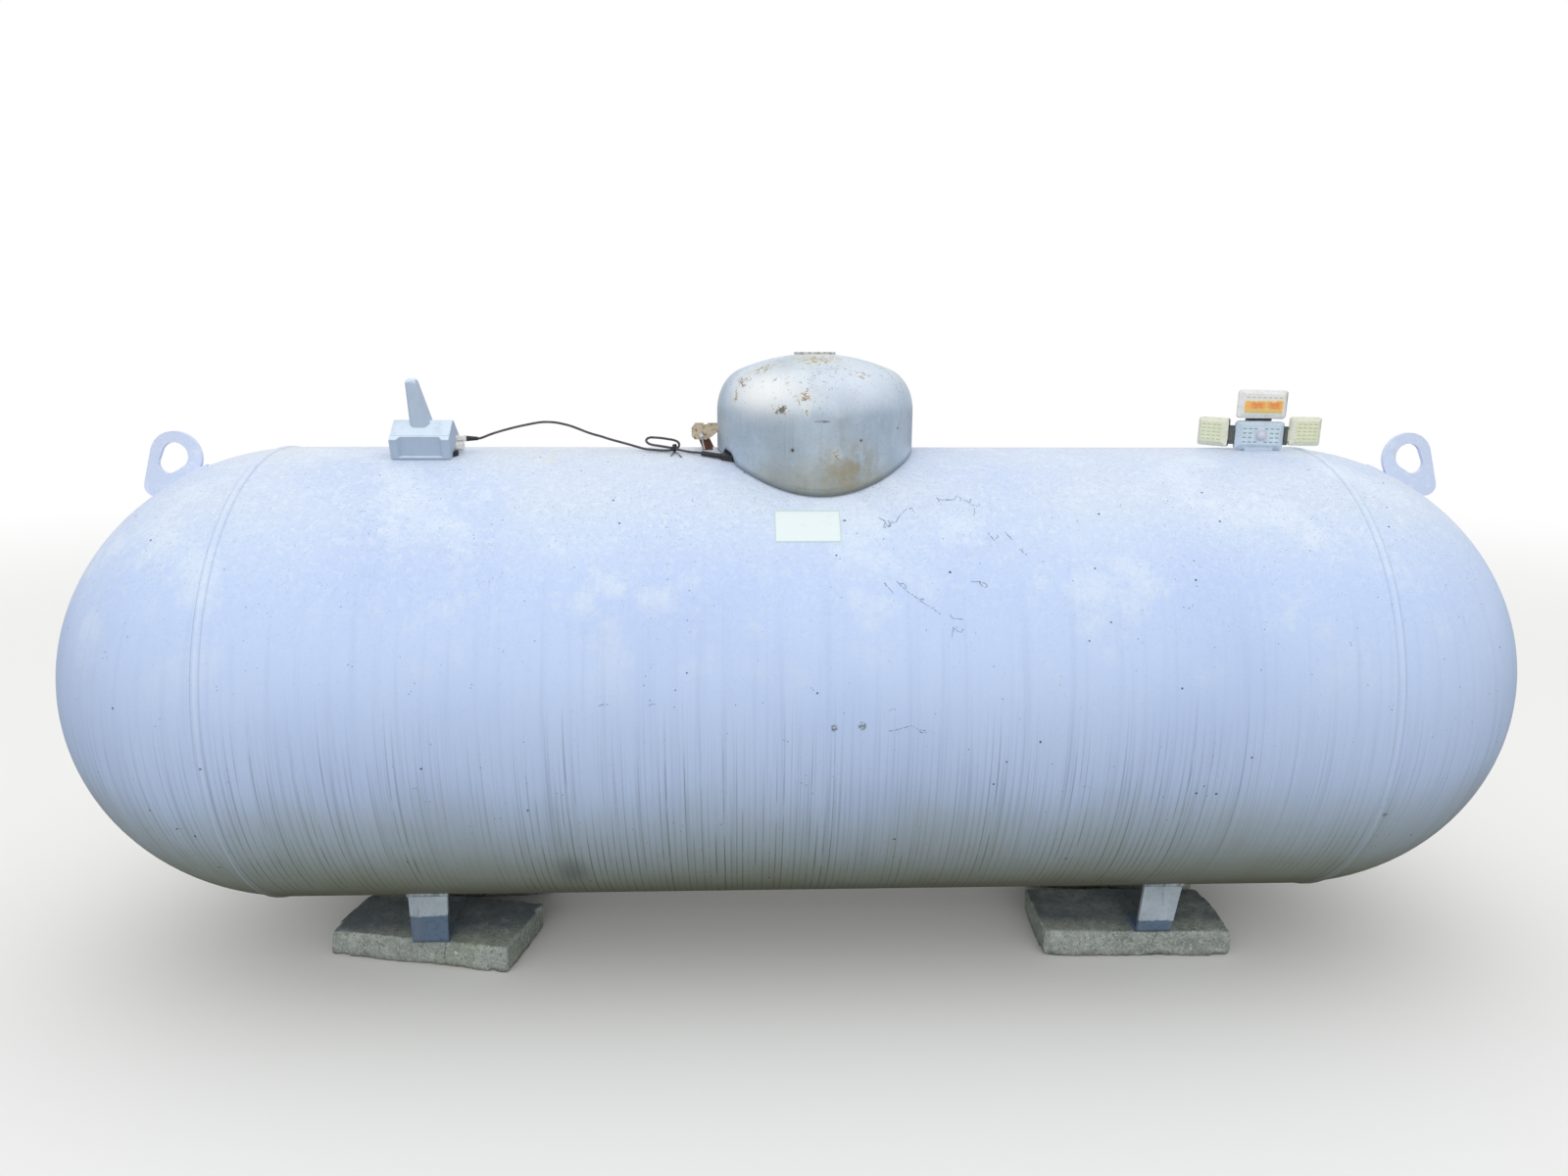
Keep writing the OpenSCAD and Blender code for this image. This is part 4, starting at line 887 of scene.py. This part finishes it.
def hood_skin():
    """The hood as one smooth pressed sheet with its true thickness."""
    low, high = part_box("hood")
    centre_x = (low.x + high.x) / 2
    half_x, half_y = (high.x - low.x) / 2, (high.y - low.y) / 2
    rise = high.z - CROWN_Z
    thick, gap, wall = 0.0025, 0.005, 0.080
    shoulder_w, shoulder_h, shoulder_end = 0.070, 0.088, math.radians(72)
    notch_at, notch_h = 208, 0.015
    around, wall_steps, shoulder_steps, crown_steps = 216, 10, 16, 14

    def ring(inset, step_in, z, share=1.0):
        return [
            Vector((
                centre_x + share * (half_x - inset - step_in) * math.cos(a),
                share * (half_y - inset - step_in) * math.sin(a),
                CROWN_Z + z,
            ))
            for a in (2 * math.pi * i / around for i in range(around))
        ]

    def rim_height(point, a):
        notch = max(0.0, min(1.0, (8 - abs(math.degrees(a) - notch_at)) / 4))
        return AXIS_Z + math.sqrt(TANK_R ** 2 - point.y ** 2) + gap + notch_h * notch

    def skin(inset):
        top_of_wall = ring(inset, 0, wall)
        rings = []
        for k in range(wall_steps):
            level = []
            for i, point in enumerate(top_of_wall):
                foot = rim_height(point, 2 * math.pi * i / around)
                level.append(Vector((point.x, point.y, foot + (point.z - foot) * k / wall_steps)))
            rings.append(level)
        shoulder_rise = shoulder_h - inset
        for k in range(shoulder_steps + 1):
            f = shoulder_end * k / shoulder_steps
            rings.append(ring(inset, shoulder_w * (1 - math.cos(f)), wall + shoulder_rise * math.sin(f)))
        edge_in = shoulder_w * (1 - math.cos(shoulder_end))
        edge_z = wall + shoulder_rise * math.sin(shoulder_end)
        for k in range(1, crown_steps):
            s = 1 - k / crown_steps
            rings.append(ring(inset, edge_in, edge_z + (rise - inset - edge_z) * (1 - s * s), s))
        return rings

    verts, faces = [], []
    starts = []
    for inset, inside in ((0.0, False), (thick, True)):
        rings = skin(inset)
        start = len(verts)
        starts.append(start)
        for level in rings:
            verts.extend(level)
        tip = len(verts)
        verts.append(Vector((centre_x, 0, CROWN_Z + rise - inset)))
        for k in range(len(rings) - 1):
            a, b = start + k * around, start + (k + 1) * around
            for i in range(around):
                j = (i + 1) % around
                quad = (a + i, a + j, b + j, b + i)
                faces.append(quad[::-1] if inside else quad)
        last = start + (len(rings) - 1) * around
        for i in range(around):
            tri = (last + i, last + (i + 1) % around, tip)
            faces.append(tri[::-1] if inside else tri)
    outer, inner = starts
    for i in range(around):
        j = (i + 1) % around
        faces.append((outer + j, outer + i, inner + i, inner + j))
    piece = add_mesh("hood_skin", verts, faces, hood_paint(), "hood")
    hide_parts("hood")


def rough_block(name, place, turn, material):
    """A cast block: worn edges, broken corners and a pitted skin, inside the plain block's box."""
    half = Vector((0.1985, 0.097, 0.0285))
    cells = (100, 50, 16)
    corner_reach, deepest_pit, top_share = 0.04, 0.0035, 0.35
    grid = bmesh.new()
    found = {}

    def vertex(*key):
        if key not in found:
            found[key] = grid.verts.new(Vector([(2 * key[a] / cells[a] - 1) * half[a] for a in range(3)]))
        return found[key]

    for axis in range(3):
        u, v = [a for a in range(3) if a != axis]
        for end in (0, cells[axis]):
            for p in range(cells[u]):
                for q in range(cells[v]):
                    corners = []
                    for du, dv in ((0, 0), (1, 0), (1, 1), (0, 1)):
                        index = [0, 0, 0]
                        index[axis], index[u], index[v] = end, p + du, q + dv
                        corners.append(vertex(*index))
                    grid.faces.new(corners)
    seed = Vector((place[0] * 7, place[1] * 7, 3.0))

    def lumps(point, per_metre):
        return max(0.0, noise.noise(point * per_metre + seed))

    for v in grid.verts:
        p = v.co.copy()
        wear = 0.0035 + 0.016 * lumps(p, 14) + 0.006 * lumps(p, 60)
        if all(abs(p[a]) > half[a] - corner_reach for a in range(2)):
            wear += 0.012 * max(0.0, 0.5 + noise.noise(p * 30 + seed))
        core = Vector((max(-(half[a] - wear), min(half[a] - wear, p[a])) for a in range(3)))
        if (p - core).length > 1e-6:
            p = core + (p - core).normalized() * min(wear, (p - core).length)
        grain = 0.0006 * noise.fractal(p * 90 + seed, 0.7, 2.1, 4) + 0.0012 * lumps(p, 45)
        inward = Vector((-p.x / half.x, -p.y / half.y, -p.z / half.z))
        strongest = max(range(3), key=lambda a: abs(inward[a]))
        push = Vector((0, 0, 0))
        push[strongest] = math.copysign(min(deepest_pit, abs(grain) + 0.0001), inward[strongest])
        if abs(p.z) < half.z - 0.004 or strongest != 2:
            p += push
        elif p.z > 0:
            p += push * top_share
        v.co = p
    bmesh.ops.recalc_face_normals(grid, faces=grid.faces)
    stand = Matrix.Translation((place[0], place[1], half.z))
    grid.transform(stand @ Matrix.Rotation(math.radians(turn), 4, "Z"))
    mesh = mesh_of(name, grid)
    for face in mesh.polygons:
        face.use_smooth = True
    piece = add_piece(name + "_cast", mesh, material)
    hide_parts(name)


def add_blocks():
    material = concrete()
    rough_block("block_front_left", (-0.774, -0.134), -12.4, material)
    rough_block("block_front_right", (0.714, -0.146), -1.5, material)
    rough_block("block_rear_left", (-0.765, 0.148), 4, material)
    rough_block("block_rear_right", (0.750, 0.146), -5, material)


def add_label():
    """A blank white label that follows the shell, where the photograph has a printed one."""
    left, right, lower, upper = -0.059, 0.063, 0.332, 0.382
    lift, thick, columns, rows = 0.0001, 0.0004, 24, 12
    look = Look("label_vinyl", (222, 233, 236), 0.35)
    x, y, z = look.axes()
    half_x, half_z = (right - left) / 2, (upper - lower) / 2
    from_x = look.size(look.minus(x, (left + right) / 2))
    from_z = look.size(look.minus(look.minus(z, AXIS_Z), (upper + lower) / 2))
    past_x = look.step(from_x, half_x - 0.0022, half_x - 0.0018)
    past_z = look.step(from_z, half_z - 0.0020, half_z - 0.0017)
    look.tint(look.math("MAXIMUM", past_x, past_z), (186, 212, 206), 0.9)
    look.blotch((214, 218, 212), 0.5, 0.55, 0.75, 60, 4, 0.7)
    look.relief(look.noise(80, 2), 0.0002)
    bottom, top = math.asin(lower / TANK_R) * TANK_R, math.asin(upper / TANK_R) * TANK_R
    verts, faces = [], []
    for proud in (lift, thick):
        for r in range(rows + 1):
            for c in range(columns + 1):
                x, arc = left + (right - left) * c / columns, bottom + (top - bottom) * r / rows
                verts.append(shell_point(x, arc, proud))
    stride = columns + 1
    layer = stride * (rows + 1)
    for r in range(rows):
        for c in range(columns):
            a = r * stride + c
            faces.append((layer + a, layer + a + 1, layer + a + stride + 1, layer + a + stride))
            faces.append((a + stride, a + stride + 1, a + 1, a))
    rim = [*range(stride), *(r * stride + columns for r in range(1, rows + 1))]
    rim += [rows * stride + c for c in range(columns - 1, -1, -1)]
    rim += [r * stride for r in range(rows - 1, 0, -1)]
    for a, b in zip(rim, rim[1:] + rim[:1]):
        faces.append((a, b, layer + b, layer + a))
    add_mesh("label", verts, faces, look.done(), smooth=False)


def add_bars(name, place, face, rows, columns, size, material, body, hole=None):
    """Rows of short raised bars over a lens, rounded, in one mesh; a round hole keeps some out."""
    rim, proud = 0.011, 0.0006
    lens_w, lens_h = face[0] - 2 * rim, face[1] - 2 * rim
    grid = bmesh.new()
    for r in range(rows):
        for c in range(columns):
            x = lens_w * ((c + 0.5) / columns - 0.5)
            z = rim + lens_h * (r + 0.5) / rows
            if hole and math.hypot(x, z - hole[0]) < hole[1]:
                continue
            bar = bmesh.ops.create_cube(grid, size=1.0)["verts"]
            spot = place @ Matrix.Translation((x, -0.0005, z))
            bmesh.ops.transform(grid, matrix=spot @ Matrix.Diagonal((size[0], proud, size[1], 1)), verts=bar)
    piece = add_piece(name, mesh_of(name, grid), material, body)
    round_all(piece, 0.0002)


def add_lamp_bars():
    """The bars in the lamp's four lenses, each set where its lens is."""
    wide_face, side_face = (0.103, 0.059), (0.070, 0.060)
    yellow = lens_plastic("dash_yellow", (188, 190, 146), (196, 196, 150), (166, 168, 128))
    clear = lens_plastic("dash_clear", (140, 154, 172), (152, 168, 186), (118, 130, 146))
    amber = lens_plastic("dash_amber", (222, 186, 128), (206, 160, 100), (190, 146, 92))
    lamp = Matrix.Translation((LAMP_X, -0.040, CROWN_Z + 0.0007)) @ Matrix.Rotation(math.radians(1.2), 4, "Y")
    for side, turn, lift in ((-1, -56, 0.0034), (1, 6, 0.0093)):
        to_pin = Matrix.Translation((side * 0.0575, 0.010, lift))
        from_pin = Matrix.Translation((side * 0.042, -0.010, 0))
        place = lamp @ to_pin @ Matrix.Rotation(math.radians(turn), 4, "Z") @ from_pin
        body = "lamp_right" if side > 0 else "lamp_left"
        name = "lamp_bars_right" if side > 0 else "lamp_bars_left"
        add_bars(name, place, side_face, 5, 4, (0.0085, 0.0018), yellow, body)
    sensor = (0.0295, 0.0170)
    add_bars("lamp_bars_middle", lamp, wide_face, 4, 7, (0.0078, 0.0024), clear, "root", sensor)
    top = lamp @ Matrix.Translation((0, 0, 0.0645))
    add_bars("lamp_bars_top", top, wide_face, 4, 7, (0.0078, 0.0022), amber, "lamp_top")


def round_edges(node, width, segments=2):
    """Softens a node's sharp edges, as moulding or grinding does."""
    piece = nodes[node]
    weld = piece.modifiers.new("weld", "WELD")
    weld.merge_threshold = 0.00002
    bevel = piece.modifiers.new("round", "BEVEL")
    bevel.width, bevel.segments = width, segments
    bevel.limit_method = "ANGLE"
    bevel.angle_limit = math.radians(28)
    bevel.use_clamp_overlap = True
    even = piece.modifiers.new("even", "WEIGHTED_NORMAL")
    even.keep_sharp = False


add_camera()
add_world()
add_light("overhead", (0, -0.4, 4.2), (0, 0, 0.6), (5.0, 3.0), 12)
add_light("front", (-0.5, -5.5, 2.6), (0, 0, 0.6), (7.0, 3.0), 90)
add_floor()
dress_all()
add_cable(add_cable_tie(nodes["cable_sleeve"].data.materials[0]))
hood_skin()
add_blocks()
add_label()
add_scratches()
add_lamp_bars()
for name, width in (
    ("unit_case", 0.0016), ("unit_front", 0.0014), ("unit_antenna", 0.0025),
    ("lamp_body", 0.0012), ("lamp_head_left", 0.0016), ("lamp_head_right", 0.0016), ("lamp_head_top", 0.0016),
):
    round_edges(name, width)

bpy.context.scene.view_settings.view_transform = "Standard"
